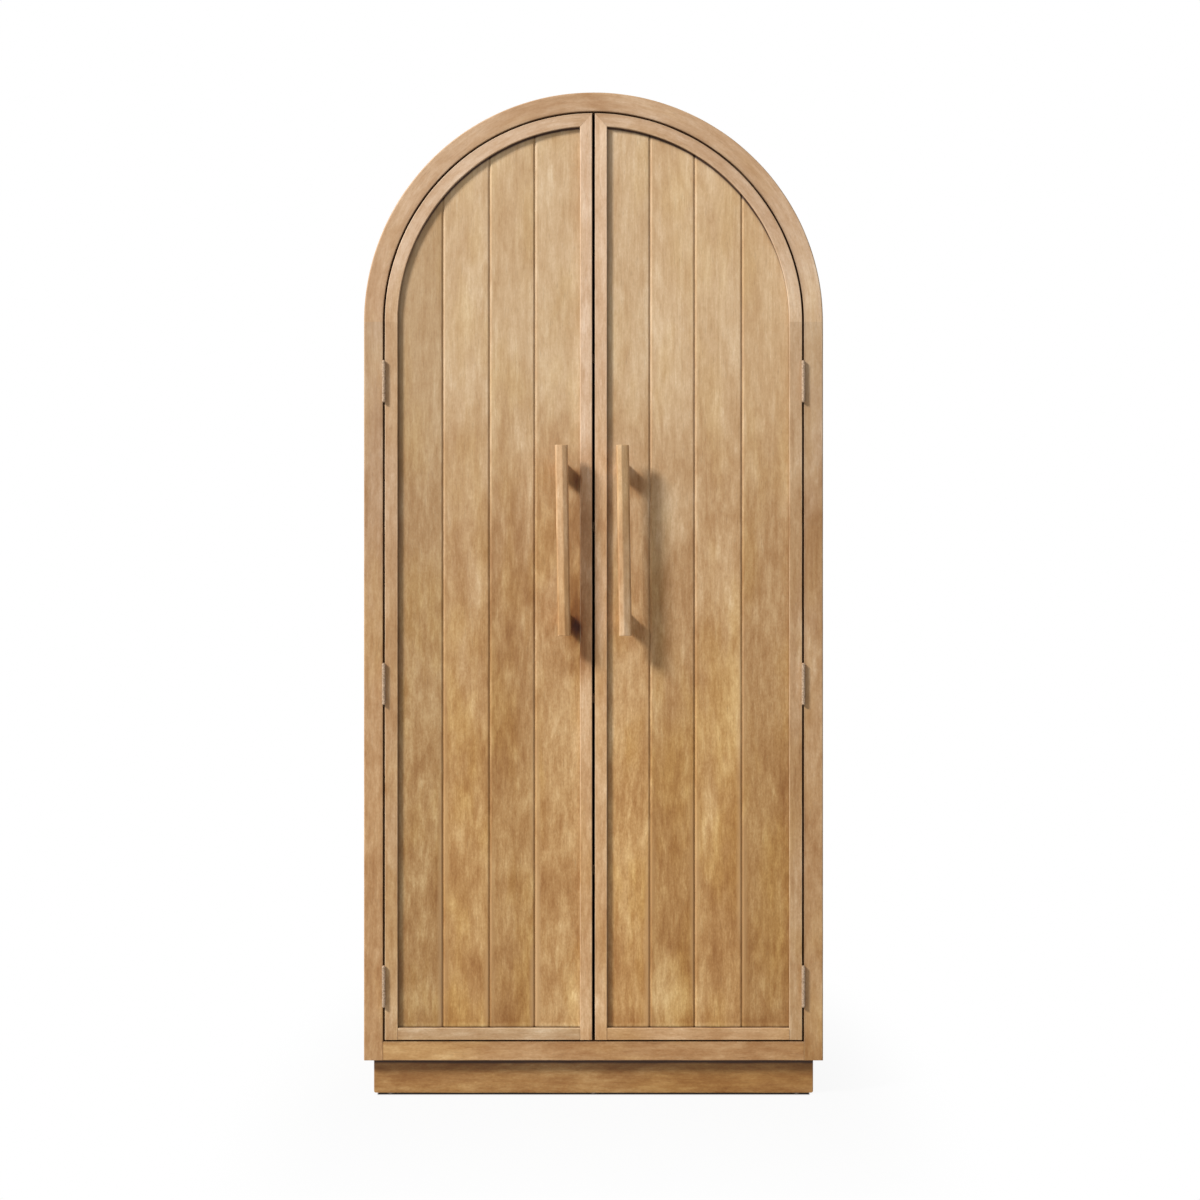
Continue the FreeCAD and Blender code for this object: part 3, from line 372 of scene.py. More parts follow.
def makeGrimeAndShadeGroup():
    group, given, result = newGroup("handGrimeAndShade", [("Place", "Vector")], [("GrimeAndShade", "Float")])
    spots = []
    for spot in grimeAndShadeSpots:
        shifted = vectorCalc(group, "SUBTRACT", given["Place"], (spot["x"], 0, spot["z"]))
        squeezed = vectorCalc(group, "MULTIPLY", shifted, (1 / spot["wide"], 0, 1 / spot["tall"]))
        spots.append(remap(group, vectorCalc(group, "LENGTH", squeezed), 1.0, 0.0, 0.0, spot["share"],
                           smooth=True))
    plug(group, result["GrimeAndShade"], combine(group, "ADD", spots))
    return group


woodGroup = makeWoodGroup()
edgeGroup = makeEdgeGroup()
fieldGroup = makeFieldGroup()
grimeAndShadeGroup = makeGrimeAndShadeGroup()

# golden is the ground's colour at the foot and pale the one at the top, the paler top partly painted light;
# Mottle and
# GoldShare are given for the foot and for the top, and wear is how far from an arris the wood is rubbed
woods = {
    "door_board_wood": {
        "pale": (0.610, 0.417, 0.238), "golden": (0.500, 0.282, 0.110), "Rubbed": (0.70, 0.50, 0.31, 1),
        "Mottle": (1.25, 0.56), "GoldShare": (0.8, 0.35), "Grain": 0.30, "wear": 2.5 * mm},
    "door_frame_wood": {
        "pale": (0.550, 0.355, 0.210), "golden": (0.520, 0.310, 0.150), "Rubbed": (0.74, 0.54, 0.35, 1),
        "Mottle": (0.95, 0.62), "GoldShare": (0.5, 0.3), "Grain": 0.30, "wear": 3 * mm},
    "face_frame_wood": {
        "pale": (0.530, 0.340, 0.198), "golden": (0.470, 0.260, 0.112), "Rubbed": (0.60, 0.40, 0.24, 1),
        "Mottle": (0.95, 0.60), "GoldShare": (0.7, 0.4), "Grain": 0.30, "wear": 3 * mm},
    "carcass_wood": {
        "pale": (0.500, 0.320, 0.185), "golden": (0.480, 0.290, 0.140), "Rubbed": (0.60, 0.41, 0.25, 1),
        "Mottle": (0.90, 0.62), "GoldShare": (0.6, 0.4), "Grain": 0.30, "wear": 5 * mm},
    "plinth_wood": {
        "pale": (0.440, 0.224, 0.073), "golden": (0.440, 0.224, 0.073), "Rubbed": (0.50, 0.29, 0.13, 1),
        "Mottle": (1.10, 1.10), "GoldShare": (0.6, 0.6), "Grain": 0.30, "wear": 3 * mm},
    "handle_wood": {
        "pale": (0.600, 0.370, 0.190), "golden": (0.540, 0.315, 0.150), "Rubbed": (0.76, 0.55, 0.34, 1),
        "Mottle": (0.80, 0.80), "GoldShare": (0.4, 0.4), "Grain": 0.40, "wear": 4 * mm},
}
sharedColours = {
    "Wash": (0.472, 0.323, 0.198, 1), "Gold": (1.02, 1.0, 0.78, 1), "GlazeAndShade": (0.055, 0.024, 0.012, 1)}

# tone of each door board at its top and foot, and how much it leans to red brown there
boardTones = {
    "left_door_board_1": {"top": 0.82, "foot": 0.80, "topWarm": 0.45, "footWarm": 0.35},
    "left_door_board_2": {"top": 1.00, "foot": 0.92, "topWarm": 0.00, "footWarm": 0.70},
    "left_door_board_3": {"top": 0.96, "foot": 0.87, "topWarm": 0.20, "footWarm": 0.55},
    "left_door_board_4": {"top": 0.97, "foot": 1.05, "topWarm": 0.15, "footWarm": 0.00},
    "right_door_board_1": {"top": 1.02, "foot": 1.00, "topWarm": 0.00, "footWarm": 0.70},
    "right_door_board_2": {"top": 1.06, "foot": 0.84, "topWarm": 0.00, "footWarm": 1.00},
    "right_door_board_3": {"top": 1.06, "foot": 1.00, "topWarm": 0.00, "footWarm": 0.45},
    "right_door_board_4": {"top": 1.00, "foot": 0.81, "topWarm": 0.35, "footWarm": 0.80},
}
evenTone = {"top": 1.0, "foot": 1.0, "topWarm": 0.0, "footWarm": 0.0}
redBrown = (1.0, 0.90, 0.74)

# heights between which a finish turns from its foot's look to its top's, the paler top partly painted light,
# and where its fading ends
washHeights = {"foot": 0.55, "top": 1.75, "fadeFull": 0.35, "fadeEnd": 1.1}
# depths behind the face for the painted shade in a recess, and behind the panels for the spots of stain and
# of painted handle shadow
maskDepths = {"recessFrom": 2 * mm, "recessFull": 5 * mm, "handsAndShadeFull": 1 * mm, "handsAndShadeEnd": 5 * mm}
plainMarks = {"rub": 0.6, "fadeWidth": 10 * mm}       # unless a piece's own marks say otherwise


# a minus sign leans the top away from red brown
def toneOf(top, foot, warm=0.0):
    return {"top": top, "foot": foot, "topWarm": warm, "footWarm": 0.0}


def toned(colour, tone, warm):
    return [c * tone * (1 - warm + warm * r) for c, r in zip(colour, redBrown)] + [1]


# turn is the grain's rotation on a CAD node, and None on a piece that carries grainPlace;
# marks names a piece's extra masks: glaze in the vees; painted shade in a recess, along a field's outline and
# in the hollow under the case; a smudge; spots of stain and painted handle shadow; fading; and its rub
def woodMaterial(name, slot, seed, low, high, turn=None, tone=evenTone, marks=None):
    look = woods[slot]
    marks = dict(plainMarks, **(marks or {}))
    material = newMaterial(name)
    tree = material.node_tree
    place = addNode(tree, "ShaderNodeTexCoord").outputs["Object"]
    parts = addNode(tree, "ShaderNodeSeparateXYZ", {0: place}).outputs
    if turn is None:
        along = addNode(tree, "ShaderNodeAttribute", attribute_name="grainPlace").outputs["Vector"]
        edgePlace = along
    else:
        along = addNode(tree, "ShaderNodeMapping", {"Vector": place, "Rotation": turn}).outputs["Vector"]
        edgePlace = place
    edge = placeGroup(tree, edgeGroup, {"Place": edgePlace, "Low": low, "High": high,
                                        "Width": look["wear"], "FadeWidth": marks["fadeWidth"]})
    # the ground pales from foot to top: partly a real change of the wash, partly painted light
    rise = remap(tree, parts["Z"], washHeights["foot"], washHeights["top"], smooth=True)
    ground = mixed(tree, rise, toned(look["golden"], tone["foot"], tone["footWarm"]),
                   toned(look["pale"], tone["top"], tone["topWarm"]))
    glazeAndShadeShares = [0.0]
    grimeAndShadeDepth = [0.0]
    if "vee" in marks:
        vee = marks["vee"]
        glazeAndShadeShares.append(remap(tree, parts["Y"], vee["from"], vee["to"], 0.0, vee["share"]))
    # painted shade on the frame's inner faces beside the sunken panel
    if "recess" in marks:
        corner = placeGroup(tree, fieldGroup, {"Place": place, **marks["recess"]})
        deep = remap(tree, parts["Y"], faceFront + maskDepths["recessFrom"],
                     faceFront + maskDepths["recessFull"])
        glazeAndShadeShares.append(calc(tree, "MULTIPLY", corner["Line"], deep))
    # painted shade along a field's outline, and a smudge above its foot
    if "field" in marks:
        field = placeGroup(tree, fieldGroup, {"Place": place, **marks["field"]})
        glazeAndShadeShares.append(field["Line"])
        if "smudge" in marks:
            grimeAndShadeDepth.append(calc(tree, "MULTIPLY", field["Smudge"], marks["smudge"]))
    # painted shade under the case's overhang, fading downwards from the case's foot
    if "hollow" in marks:
        for reach, share in marks["hollow"]:
            depth = calc(tree, "DIVIDE", calc(tree, "SUBTRACT", parts["Z"], caseFoot), reach)
            glazeAndShadeShares.append(calc(tree, "MULTIPLY", calc(tree, "EXPONENT", depth), share))
    # spots of stain, and painted shadow of the handles, on the front faces only
    if "handsAndShade" in marks:
        onFront = remap(tree, parts["Y"], panelFront + maskDepths["handsAndShadeFull"],
                        panelFront + maskDepths["handsAndShadeEnd"], 1.0, 0.0)
        handsAndShade = placeGroup(tree, grimeAndShadeGroup, {"Place": place})
        grimeAndShadeDepth.append(calc(tree, "MULTIPLY", handsAndShade["GrimeAndShade"], onFront))
    fade = 0.0
    if "fade" in marks:
        lowDown = remap(tree, parts["Z"], washHeights["fadeFull"], washHeights["fadeEnd"], marks["fade"], 0.0)
        fade = calc(tree, "MULTIPLY", edge["Fade"], lowDown)
    values = dict(sharedColours)
    values.update({"Place": along, "Seed": seed, "Ground": ground, "Rubbed": look["Rubbed"],
                   "Grain": look["Grain"], "Fade": fade,
                   "Edge": calc(tree, "MULTIPLY", edge["Edge"], marks["rub"]),
                   "GlazeAndShadeShare": combine(tree, "MAXIMUM", glazeAndShadeShares),
                   "GrimeAndShade": combine(tree, "ADD", grimeAndShadeDepth),
                   "Mottle": remap(tree, rise, 0.0, 1.0, *look["Mottle"]),
                   "GoldShare": remap(tree, rise, 0.0, 1.0, *look["GoldShare"])})
    wood = placeGroup(tree, woodGroup, values)
    bump = addNode(tree, "ShaderNodeBump",
                   {"Height": wood["Height"], "Strength": 0.4, "Distance": 0.6 * mm})
    surface = addNode(tree, "ShaderNodeBsdfPrincipled", {
        "Base Color": wood["Color"], "Roughness": wood["Roughness"],
        "Normal": bump.outputs[0], "Specular IOR Level": 0.35})
    addNode(tree, "ShaderNodeOutputMaterial", {"Surface": surface.outputs[0]})
    return material


# pale metal with dull spots and fine scuffs, also used for the plastic parts
def makeMetalGroup():
    group, given, result = newGroup(
        "tarnishedMetal", [("Place", "Vector"), ("Bright", "Color"), ("Dull", "Color")],
        [("Color", "Color"), ("Roughness", "Float"), ("Height", "Float")])
    spots = noiseOf(group, given["Place"], (260, 260, 260), 4, 0.6)
    scuffs = noiseOf(group, given["Place"], (900, 900, 140), 2, 0.5)
    share = remap(group, spots, 0.38, 0.64)
    colour = mixed(group, share, given["Bright"], given["Dull"])
    gain = calc(group, "MULTIPLY_ADD", scuffs, 0.24, 0.88)
    plug(group, result["Color"], mixed(group, 1.0, colour, grey(group, gain), "MULTIPLY"))
    plug(group, result["Roughness"], calc(group, "MULTIPLY_ADD", share, 0.22, 0.34))
    plug(group, result["Height"], calc(group, "MULTIPLY_ADD", scuffs, 0.3, spots))
    return group


metalGroup = makeMetalGroup()


def metalMaterial(name, bright, dull, metallic, bumpDepth):
    material = newMaterial(name)
    tree = material.node_tree
    place = addNode(tree, "ShaderNodeTexCoord").outputs["Object"]
    metal = placeGroup(tree, metalGroup, {"Place": place, "Bright": bright, "Dull": dull})
    bump = addNode(tree, "ShaderNodeBump",
                   {"Height": metal["Height"], "Strength": 0.3, "Distance": bumpDepth})
    surface = addNode(tree, "ShaderNodeBsdfPrincipled", {
        "Base Color": metal["Color"], "Roughness": metal["Roughness"],
        "Metallic": metallic, "Normal": bump.outputs[0]})
    addNode(tree, "ShaderNodeOutputMaterial", {"Surface": surface.outputs[0]})
    return material


# name, bright colour, dull colour, share of metal and depth of the bumps
metals = {
    "hinge_metal": metalMaterial(
        "pale_brass", (0.57, 0.41, 0.275, 1), (0.30, 0.20, 0.12, 1), 0.15, 0.2 * mm),
    "screw_steel": metalMaterial(
        "screw_steel", (0.62, 0.58, 0.52, 1), (0.42, 0.38, 0.33, 1), 0.9, 0.1 * mm),
    "catch_plastic": metalMaterial(
        "catch_plastic", (0.72, 0.69, 0.63, 1), (0.64, 0.61, 0.55, 1), 0.0, 0.1 * mm),
    "glide_nylon": metalMaterial(
        "glide_nylon", (0.30, 0.27, 0.23, 1), (0.24, 0.21, 0.18, 1), 0.0, 0.1 * mm),
}


# how the grain lies in a piece: across, deep and along it
def uprightLay(co):
    return Vector((co.x, co.y, co.z))


def lyingLay(co):
    return Vector((co.z, co.y, co.x))


def deepLay(co):
    return Vector((co.x, co.z, co.y))


def ribbonLay(co):           # up the right side, over the arch and down the left
    archLength = math.pi * outerRadius
    rise = co.z - springHeight
    if rise < 0:
        run = rise if co.x > 0 else archLength - rise
        return Vector((abs(co.x), co.y, springHeight + run))
    angle = math.atan2(rise, co.x)
    return Vector((math.hypot(co.x, rise), co.y, springHeight + angle * outerRadius))


def bentSheetLay(co):        # grain runs from front to back over the barrel
    turned = ribbonLay(co)
    return Vector((turned.z, turned.x, turned.y))


# the way across the grain, from the lower side to the higher one
def acrossX(co):
    return Vector((1, 0, 0))


def acrossZ(co):
    return Vector((0, 0, 1))


def acrossArch(co):
    rise = max(co.z - springHeight, 0)
    return Vector((co.x, 0, rise)).normalized()


seedDrift = (7.3, 3.1, 5.7)       # how far the noise of one seed lies from that of the next


def wander(place, scale, seed):
    drift = Vector([seed * shift for shift in seedDrift])
    return 0.5 + 0.5 * noise.noise(Vector(place) * scale + drift)


# steps that turn a copy of a CAD piece into a worn one, with the grain laid along it
weld = 0.001 * mm                 # points nearer than this are one
flatTurn = math.radians(0.02)     # faces that turn less than this are one
snap = 0.02 * mm                  # a cut runs through the points that lie this near
level = 0.01 * mm                 # heights that differ less than this are one
strayShare = 0.3                  # how much of a step the cuts stray


def openCopy(nodeName):
    bm = bmesh.new()
    bm.from_mesh(nodes[nodeName].data)
    bmesh.ops.remove_doubles(bm, verts=bm.verts, dist=weld)
    bmesh.ops.dissolve_limit(bm, angle_limit=flatTurn, verts=bm.verts, edges=bm.edges)
    return bm


def crossCut(bm, point, normal):
    everything = bm.verts[:] + bm.edges[:] + bm.faces[:]
    bmesh.ops.bisect_plane(bm, geom=everything, plane_co=point, plane_no=normal, dist=snap)


def cutAlong(bm, axis, low, high, step):
    normal = Vector((0, 0, 0))
    normal[axis] = 1
    count = max(int((high - low) / step), 1)
    for i in range(1, count):
        shift = strayShare * step * (noise.random() - 0.5)
        crossCut(bm, normal * (low + (high - low) * i / count + shift), normal)


def cutRound(bm, start, end, step):
    count = max(int((end - start) / step), 1)
    for i in range(1, count):
        angle = math.radians(start + (end - start) * i / count)
        crossCut(bm, Vector((0, 0, springHeight)), Vector((-math.sin(angle), 0, math.cos(angle))))


def softenEdges(bm, chosen, width, segments):
    edges = [e for e in bm.edges if chosen(e)]
    if edges:
        bmesh.ops.bevel(bm, geom=edges, offset=width, offset_type="OFFSET", segments=segments,
                        profile=0.5, affect="EDGES", material=-1, clamp_overlap=True)


# wear takes the arrises back, unevenly along the piece
def wearArrises(bm, lay, acrossWay, sides, front, wear, seed, inwards=1):
    for vert in bm.verts:
        across, deep, along = lay(vert.co)
        for side, way in zip(sides, (1, -1)):
            reach = math.hypot(across - side, deep - front)
            loss = wear["depth"] * math.exp(-reach / wear["reach"]) * wander(vert.co, wear["scale"], seed)
            vert.co += loss * (acrossWay(vert.co) * way + Vector((0, inwards, 0)))


def closePiece(bm, name, nodeName, finish, lay, sharpAngle=35):
    bmesh.ops.triangulate(bm, faces=[f for f in bm.faces if len(f.verts) > 4],
                          quad_method="BEAUTY", ngon_method="BEAUTY")
    for face in bm.faces:
        face.smooth = True
    for edge in bm.edges:
        edge.smooth = edge.calc_face_angle(0.0) < math.radians(sharpAngle)
    layer = bm.verts.layers.float_vector.new("grainPlace")
    for vert in bm.verts:
        vert[layer] = lay(vert.co)
    mesh = bpy.data.meshes.new(name)
    bm.to_mesh(mesh)
    bm.free()
    mesh.materials.append(finish)
    piece = bpy.data.objects.new(name, mesh)
    scene.collection.objects.link(piece)
    weigh = piece.modifiers.new("flatFaces", "WEIGHTED_NORMAL")
    weigh.keep_sharp = True
    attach(piece, nodes[nodeName]["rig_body"])
    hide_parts(nodeName)
    made.add(nodeName)


slotNames = {name: node.data.materials[0].name.split(".")[0] for name, node in nodes.items()}
noise.seed_set(7)
made = set()
beyond = 10.0                     # puts an edge mask's end far past the piece


def edgeBox(low, high):           # arrises at two places across the grain, none along it
    return Vector((low, faceFront, -beyond)), Vector((high, beyond, beyond))


# face frame: one continuous grain up each stile and over the arch
faceFrame = {"step": 46 * mm, "turnStep": 5.0, "seed": 3.0, "segments": 4,
             "depth": 0.9 * mm, "reach": 4 * mm, "scale": 16.0}
faceTones = {"left_face_stile": toneOf(0.97, 1.03, -0.4), "right_face_stile": toneOf(0.92, 0.97),
             "face_bottom_rail": toneOf(1.07, 1.07)}
archTone = toneOf(1.03, 1.03, 0.1)
# face frame: field paints shade along the opening's rim, where the gap round the doors is dark, and on the
# bottom rail by the doors' foot
faceMarks = {"rub": 0.35, "handsAndShade": True, "field": {
    "Inner": beyond, "Radius": openingRadius, "Foot": faceRailTop, "Reach": 2.0 * mm,
    "CrownReach": 2.2 * mm, "FootReach": 2.0 * mm, "SideShare": 0.60, "InnerShare": 0.0,
    "FootShare": 0.55, "CrownShare": 0.60}}
arch = ["face_arch_segment_" + str(index + 1) for index in range(faceFrame["segments"])]

for nodeName in ("left_face_stile", "right_face_stile", "face_bottom_rail", *arch):
    bm = openCopy(nodeName)
    low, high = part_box(nodeName)
    lay, acrossWay = ribbonLay, acrossArch
    edgeLow, edgeHigh = edgeBox(openingRadius, outerRadius)
    if nodeName in arch:
        turn = 180 / faceFrame["segments"]
        start = arch.index(nodeName) * turn
        cutRound(bm, start, start + turn, faceFrame["turnStep"])
    elif nodeName == "face_bottom_rail":
        cutAlong(bm, 0, low.x, high.x, faceFrame["step"])
        lay, acrossWay = lyingLay, acrossZ
        edgeLow, edgeHigh = edgeBox(caseFoot, faceRailTop)
    else:
        cutAlong(bm, 2, low.z, high.z, faceFrame["step"])
    wearArrises(bm, lay, acrossWay, (edgeLow.x, edgeHigh.x), faceFront, faceFrame, faceFrame["seed"])
    finish = woodMaterial(nodeName + "_finish", slotNames[nodeName], faceFrame["seed"], edgeLow, edgeHigh,
                          tone=faceTones.get(nodeName, archTone), marks=faceMarks)
    closePiece(bm, nodeName + "_worn", nodeName, finish, lay)
print("face frame made")


# door frames
doorFrame = {"step": 40 * mm, "turnStep": 4.0, "depth": 0.8 * mm, "reach": 3 * mm, "scale": 22.0}
doorSeeds = {"left_door": 20.0, "right_door": 25.0}
doorParts = {
    "hinge_stile": {
        "seedShift": 0, "left_door": toneOf(0.98, 0.97), "right_door": toneOf(0.93, 0.96)},
    "arch_rail": {
        "seedShift": 0, "left_door": toneOf(1.07, 1.07, -0.2), "right_door": toneOf(1.07, 1.07, -0.25)},
    "meeting_stile": {
        "seedShift": 1.7, "left_door": toneOf(1.27, 1.20, -0.6), "right_door": toneOf(1.26, 1.20, -0.45)},
    "bottom_rail": {
        "seedShift": 2.6, "left_door": toneOf(0.91, 0.91), "right_door": toneOf(1.13, 1.13, -0.3)},
}
# door frames: field paints shade along the edges at the gaps round each door, and recess paints shade on the
# inner faces beside the sunken panel
doorMarks = {
    "rub": 0.6, "handsAndShade": True,
    "field": {
        "Inner": meetingEdge, "Radius": doorRadius, "Foot": -beyond, "Reach": 1.6 * mm,
        "CrownReach": 2.2 * mm, "FootReach": 1.0 * mm, "SideShare": 0.0, "InnerShare": 0.38,
        "FootShare": 0.0, "CrownShare": 0.34},
    "recess": {
        "Inner": panelEdge, "Radius": panelRadius, "Foot": panelFoot, "Reach": 1.2 * mm,
        "CrownReach": 1.2 * mm, "FootReach": 1.2 * mm, "SideShare": 0.8, "InnerShare": 0.8,
        "FootShare": 0.95, "CrownShare": 0.9},
}

for door, doorSeed in doorSeeds.items():
    side = 1 if door == "right_door" else -1
    for part, values in doorParts.items():
        nodeName = door + "_" + part
        bm = openCopy(nodeName)
        low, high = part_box(nodeName)
        lay, acrossWay = ribbonLay, acrossArch
        edgeLow, edgeHigh = edgeBox(panelRadius, doorRadius)
        if part == "arch_rail":
            start = 0 if side > 0 else 90
            cutRound(bm, start, start + 90, doorFrame["turnStep"])
        elif part == "bottom_rail":
            cutAlong(bm, 0, low.x, high.x, doorFrame["step"])
            lay, acrossWay = lyingLay, acrossZ
            edgeLow, edgeHigh = edgeBox(-beyond, panelFoot)
        else:
            cutAlong(bm, 2, low.z, high.z, doorFrame["step"])
        if part == "meeting_stile":
            lay, acrossWay = uprightLay, acrossX
            edgeLow, edgeHigh = edgeBox(*sorted((side * meetingEdge, side * panelEdge)))
        wearArrises(bm, lay, acrossWay, (edgeLow.x, edgeHigh.x), faceFront, doorFrame, doorSeed)
        finish = woodMaterial(nodeName + "_finish", slotNames[nodeName], doorSeed + values["seedShift"],
                              edgeLow, edgeHigh, tone=values[door], marks=doorMarks)
        closePiece(bm, nodeName + "_worn", nodeName, finish, lay)
print("door frames made")


# door boards: rounded and slightly wavy arrises along the vees
boards = {"count": 4, "step": 34 * mm, "vee": 3 * mm, "round": 1.4 * mm, "segments": 4,
          "depth": 0.9 * mm, "reach": 3 * mm, "scale": 26.0, "slack": 0.25 * mm, "tongue": 5.25 * mm,
          "seed": 40.0, "boardShift": 3, "doorShift": 20, "flat": 0.05 * mm, "nearVee": 0.3 * mm}
boardMarks = {"rub": 0.05, "handsAndShade": True, "smudge": 0.2, "fade": 1.0, "fadeWidth": 13 * mm,
              "vee": {"from": panelFront + 0.1 * mm, "to": panelFront + 1.9 * mm, "share": 0.10}}
# painted shade along each panel's outline: the frame's shadow under the arch, along the foot and down the
# side away from the lamp
boardField = {"Inner": panelEdge, "Radius": panelRadius, "Foot": panelFoot, "Reach": 4 * mm,
              "CrownReach": 1.7 * mm, "FootReach": 1.3 * mm, "FootShare": 1.3, "CrownShare": 7.0}


def onVeeArris(edge, sides):
    a, b = (vert.co for vert in edge.verts)
    if max(a.y, b.y) > panelFront + boards["flat"] or abs(a.x - b.x) > boards["flat"]:
        return False
    return min(abs(a.x - x) for x in sides) < boards["nearVee"]


for door in doorSeeds:
    leftDoor = door == "left_door"
    for index in range(boards["count"]):
        nodeName = door + "_board_" + str(index + 1)
        low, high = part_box(nodeName)
        seed = boards["seed"] + boards["boardShift"] * index + (0 if leftDoor else boards["doorShift"])
        bm = openCopy(nodeName)
        sides = []
        if index > 0:
            sides.append(low.x + boards["vee"])
        if index < boards["count"] - 1:
            sides.append(high.x - boards["tongue"] - boards["slack"] - boards["vee"])
        softenEdges(bm, lambda e: onVeeArris(e, sides), boards["round"], boards["segments"])
        cutAlong(bm, 2, low.z, high.z, boards["step"])
        edgeLow = Vector((sides[0] if index > 0 else -beyond, panelFront, -beyond))
        edgeHigh = Vector((sides[-1] if index < boards["count"] - 1 else beyond, beyond, beyond))
        wearArrises(bm, uprightLay, acrossX, (edgeLow.x, edgeHigh.x), panelFront, boards, seed)
        # the lamp stands on the left, so painted shade darkens the left edge of each panel, where the frame's
        # shadow falls
        field = dict(boardField, SideShare=0.64 if leftDoor else 0.0, InnerShare=0.0 if leftDoor else 0.64)
        finish = woodMaterial(nodeName + "_finish", slotNames[nodeName], seed, edgeLow, edgeHigh,
                              tone=boardTones[nodeName], marks=dict(boardMarks, field=field))
        closePiece(bm, nodeName + "_worn", nodeName, finish, uprightLay)
print("door boards made")


# handle bars: a square bar hewn by hand, so its facets wander; a slope is in degrees from the front
handle = {"lean": 0.9, "step": 11 * mm, "leftEase": 2.2 * mm, "leftEaseSlope": 45, "leftSlope": 12,
          "slope": 20, "edge": 3.0 * mm, "edgeSlope": 62, "backEase": 4.2 * mm, "backSlope": 135,
          "ease": 1.5 * mm, "segments": 3, "ridgeSway": 3.4 * mm, "sway": 0.5 * mm, "scale": 14.0,
          "spread": 3, "shift": 4.0, "plainEnd": 4 * mm, "stillEnd": 10 * mm,
          "nearRidge": 1 * mm, "nearSide": 2 * mm, "skin": 0.1 * mm}
ridgeShares = {"left_door_handle_bar": 0.55, "right_door_handle_bar": 0.40}
handleSeeds = {"left_door_handle_bar": 61.0, "right_door_handle_bar": 67.0}


def hewOff(bm, point, angle):        # cuts off what lies past a sloping plane and closes the cut
    normal = Vector((math.sin(math.radians(angle)), -math.cos(math.radians(angle)), 0))
    everything = bm.verts[:] + bm.edges[:] + bm.faces[:]
    cut = bmesh.ops.bisect_plane(bm, geom=everything, plane_co=point, plane_no=normal, clear_outer=True,
                                 dist=snap)
    rim = [e for e in cut["geom_cut"] if isinstance(e, bmesh.types.BMEdge)]
    bmesh.ops.edgeloop_fill(bm, edges=rim)


for nodeName, ridgeShare in ridgeShares.items():
    low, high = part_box(nodeName)
    centre = (low + high) / 2
    seed = handleSeeds[nodeName]
    offset = Vector((0, seed, handle["shift"]))
    lean = math.radians(handle["lean"])
    length = (high.z - low.z - (high.x - low.x) * math.sin(lean)) / math.cos(lean)
    width = high.x - low.x - length * math.sin(lean)
    depth = high.y - low.y
    front = -depth / 2
    ridge = width * (ridgeShare - 0.5)
    edge = width / 2 - handle["edge"]
    drop = (edge - ridge) * math.tan(math.radians(handle["slope"]))
    bm = bmesh.new()
    bmesh.ops.create_cube(bm, size=1.0)
    bmesh.ops.scale(bm, vec=(width, depth, length), verts=bm.verts)
    hewOff(bm, Vector((ridge, front, 0)), handle["slope"])
    hewOff(bm, Vector((ridge, front, 0)), -handle["leftSlope"])
    hewOff(bm, Vector((edge, front + drop, 0)), handle["edgeSlope"])
    leftDrop = (width / 2 + ridge) * math.tan(math.radians(handle["leftSlope"]))
    hewOff(bm, Vector((handle["leftEase"] - width / 2, front + leftDrop, 0)), -handle["leftEaseSlope"])
    for way in (-1, 1):
        backPlace = Vector((way * (width / 2 - handle["backEase"]), depth / 2, 0))
        hewOff(bm, backPlace, way * handle["backSlope"])
    softenEdges(bm, lambda e: all(abs(v.co.z) > length / 2 - level for v in e.verts),
                handle["ease"], handle["segments"])
    cutAlong(bm, 2, -length / 2 + handle["plainEnd"], length / 2 - handle["plainEnd"], handle["step"])
    for vert in bm.verts:
        co = vert.co
        nearEnd = min(1.0, (length / 2 - abs(co.z)) / handle["stillEnd"])
        if co.y < depth / 2 - handle["skin"] and nearEnd > 0:
            # rounded, so that the points along one arris wander together
            across = Vector((round(co.x / width, 1) * handle["spread"],
                             round(co.y / depth, 1) * handle["spread"], co.z * handle["scale"]))
            if co.y < front + handle["skin"] and abs(co.x - ridge) < handle["nearRidge"]:
                slide = noise.noise(Vector((seed, 0, co.z * handle["scale"])))
                co.x += slide * handle["ridgeSway"] * nearEnd
            pull = handle["sway"] * (0.5 + 0.5 * noise.noise(across + offset)) * nearEnd
            if abs(co.x) > width / 2 - handle["nearSide"]:
                co.x -= math.copysign(pull, co.x)
            if co.y < 0:
                co.y += pull
    turn = Matrix.Translation(centre) @ Matrix.Rotation(-lean, 4, "Y")
    back = turn.inverted()
    bmesh.ops.transform(bm, matrix=turn, verts=bm.verts)
    bmesh.ops.recalc_face_normals(bm, faces=bm.faces)

    def barLay(co):
        return back @ co + Vector((0, 0, centre.z))

    # the paler rubbed wood sits only on the bar's left side near its ends, the side facing the lamp: partly
    # wear, partly a painted highlight
    finish = woodMaterial(nodeName + "_finish", slotNames[nodeName], seed,
                          Vector((-width / 2, front - beyond, centre.z - length / 2)),
                          Vector((beyond, beyond, centre.z + length / 2)), marks={"rub": 0.8})
    closePiece(bm, nodeName + "_hewn", nodeName, finish, barLay, sharpAngle=12)
print("handle bars made")


# plinth: boards with eased lower arrises, and painted shade in the hollow under the case
plinth = {"step": 50 * mm, "depth": 0.9 * mm, "reach": 4 * mm, "scale": 18.0, "seed": 80.0}
plinthBoards = {
    "plinth_front": {"axis": 0, "lay": lyingLay, "outer": 0, "inwards": 1},
    "plinth_rear": {"axis": 0, "lay": lyingLay, "outer": 1, "inwards": -1},
    "plinth_left": {"axis": 1, "lay": deepLay},
    "plinth_right": {"axis": 1, "lay": deepLay},
}
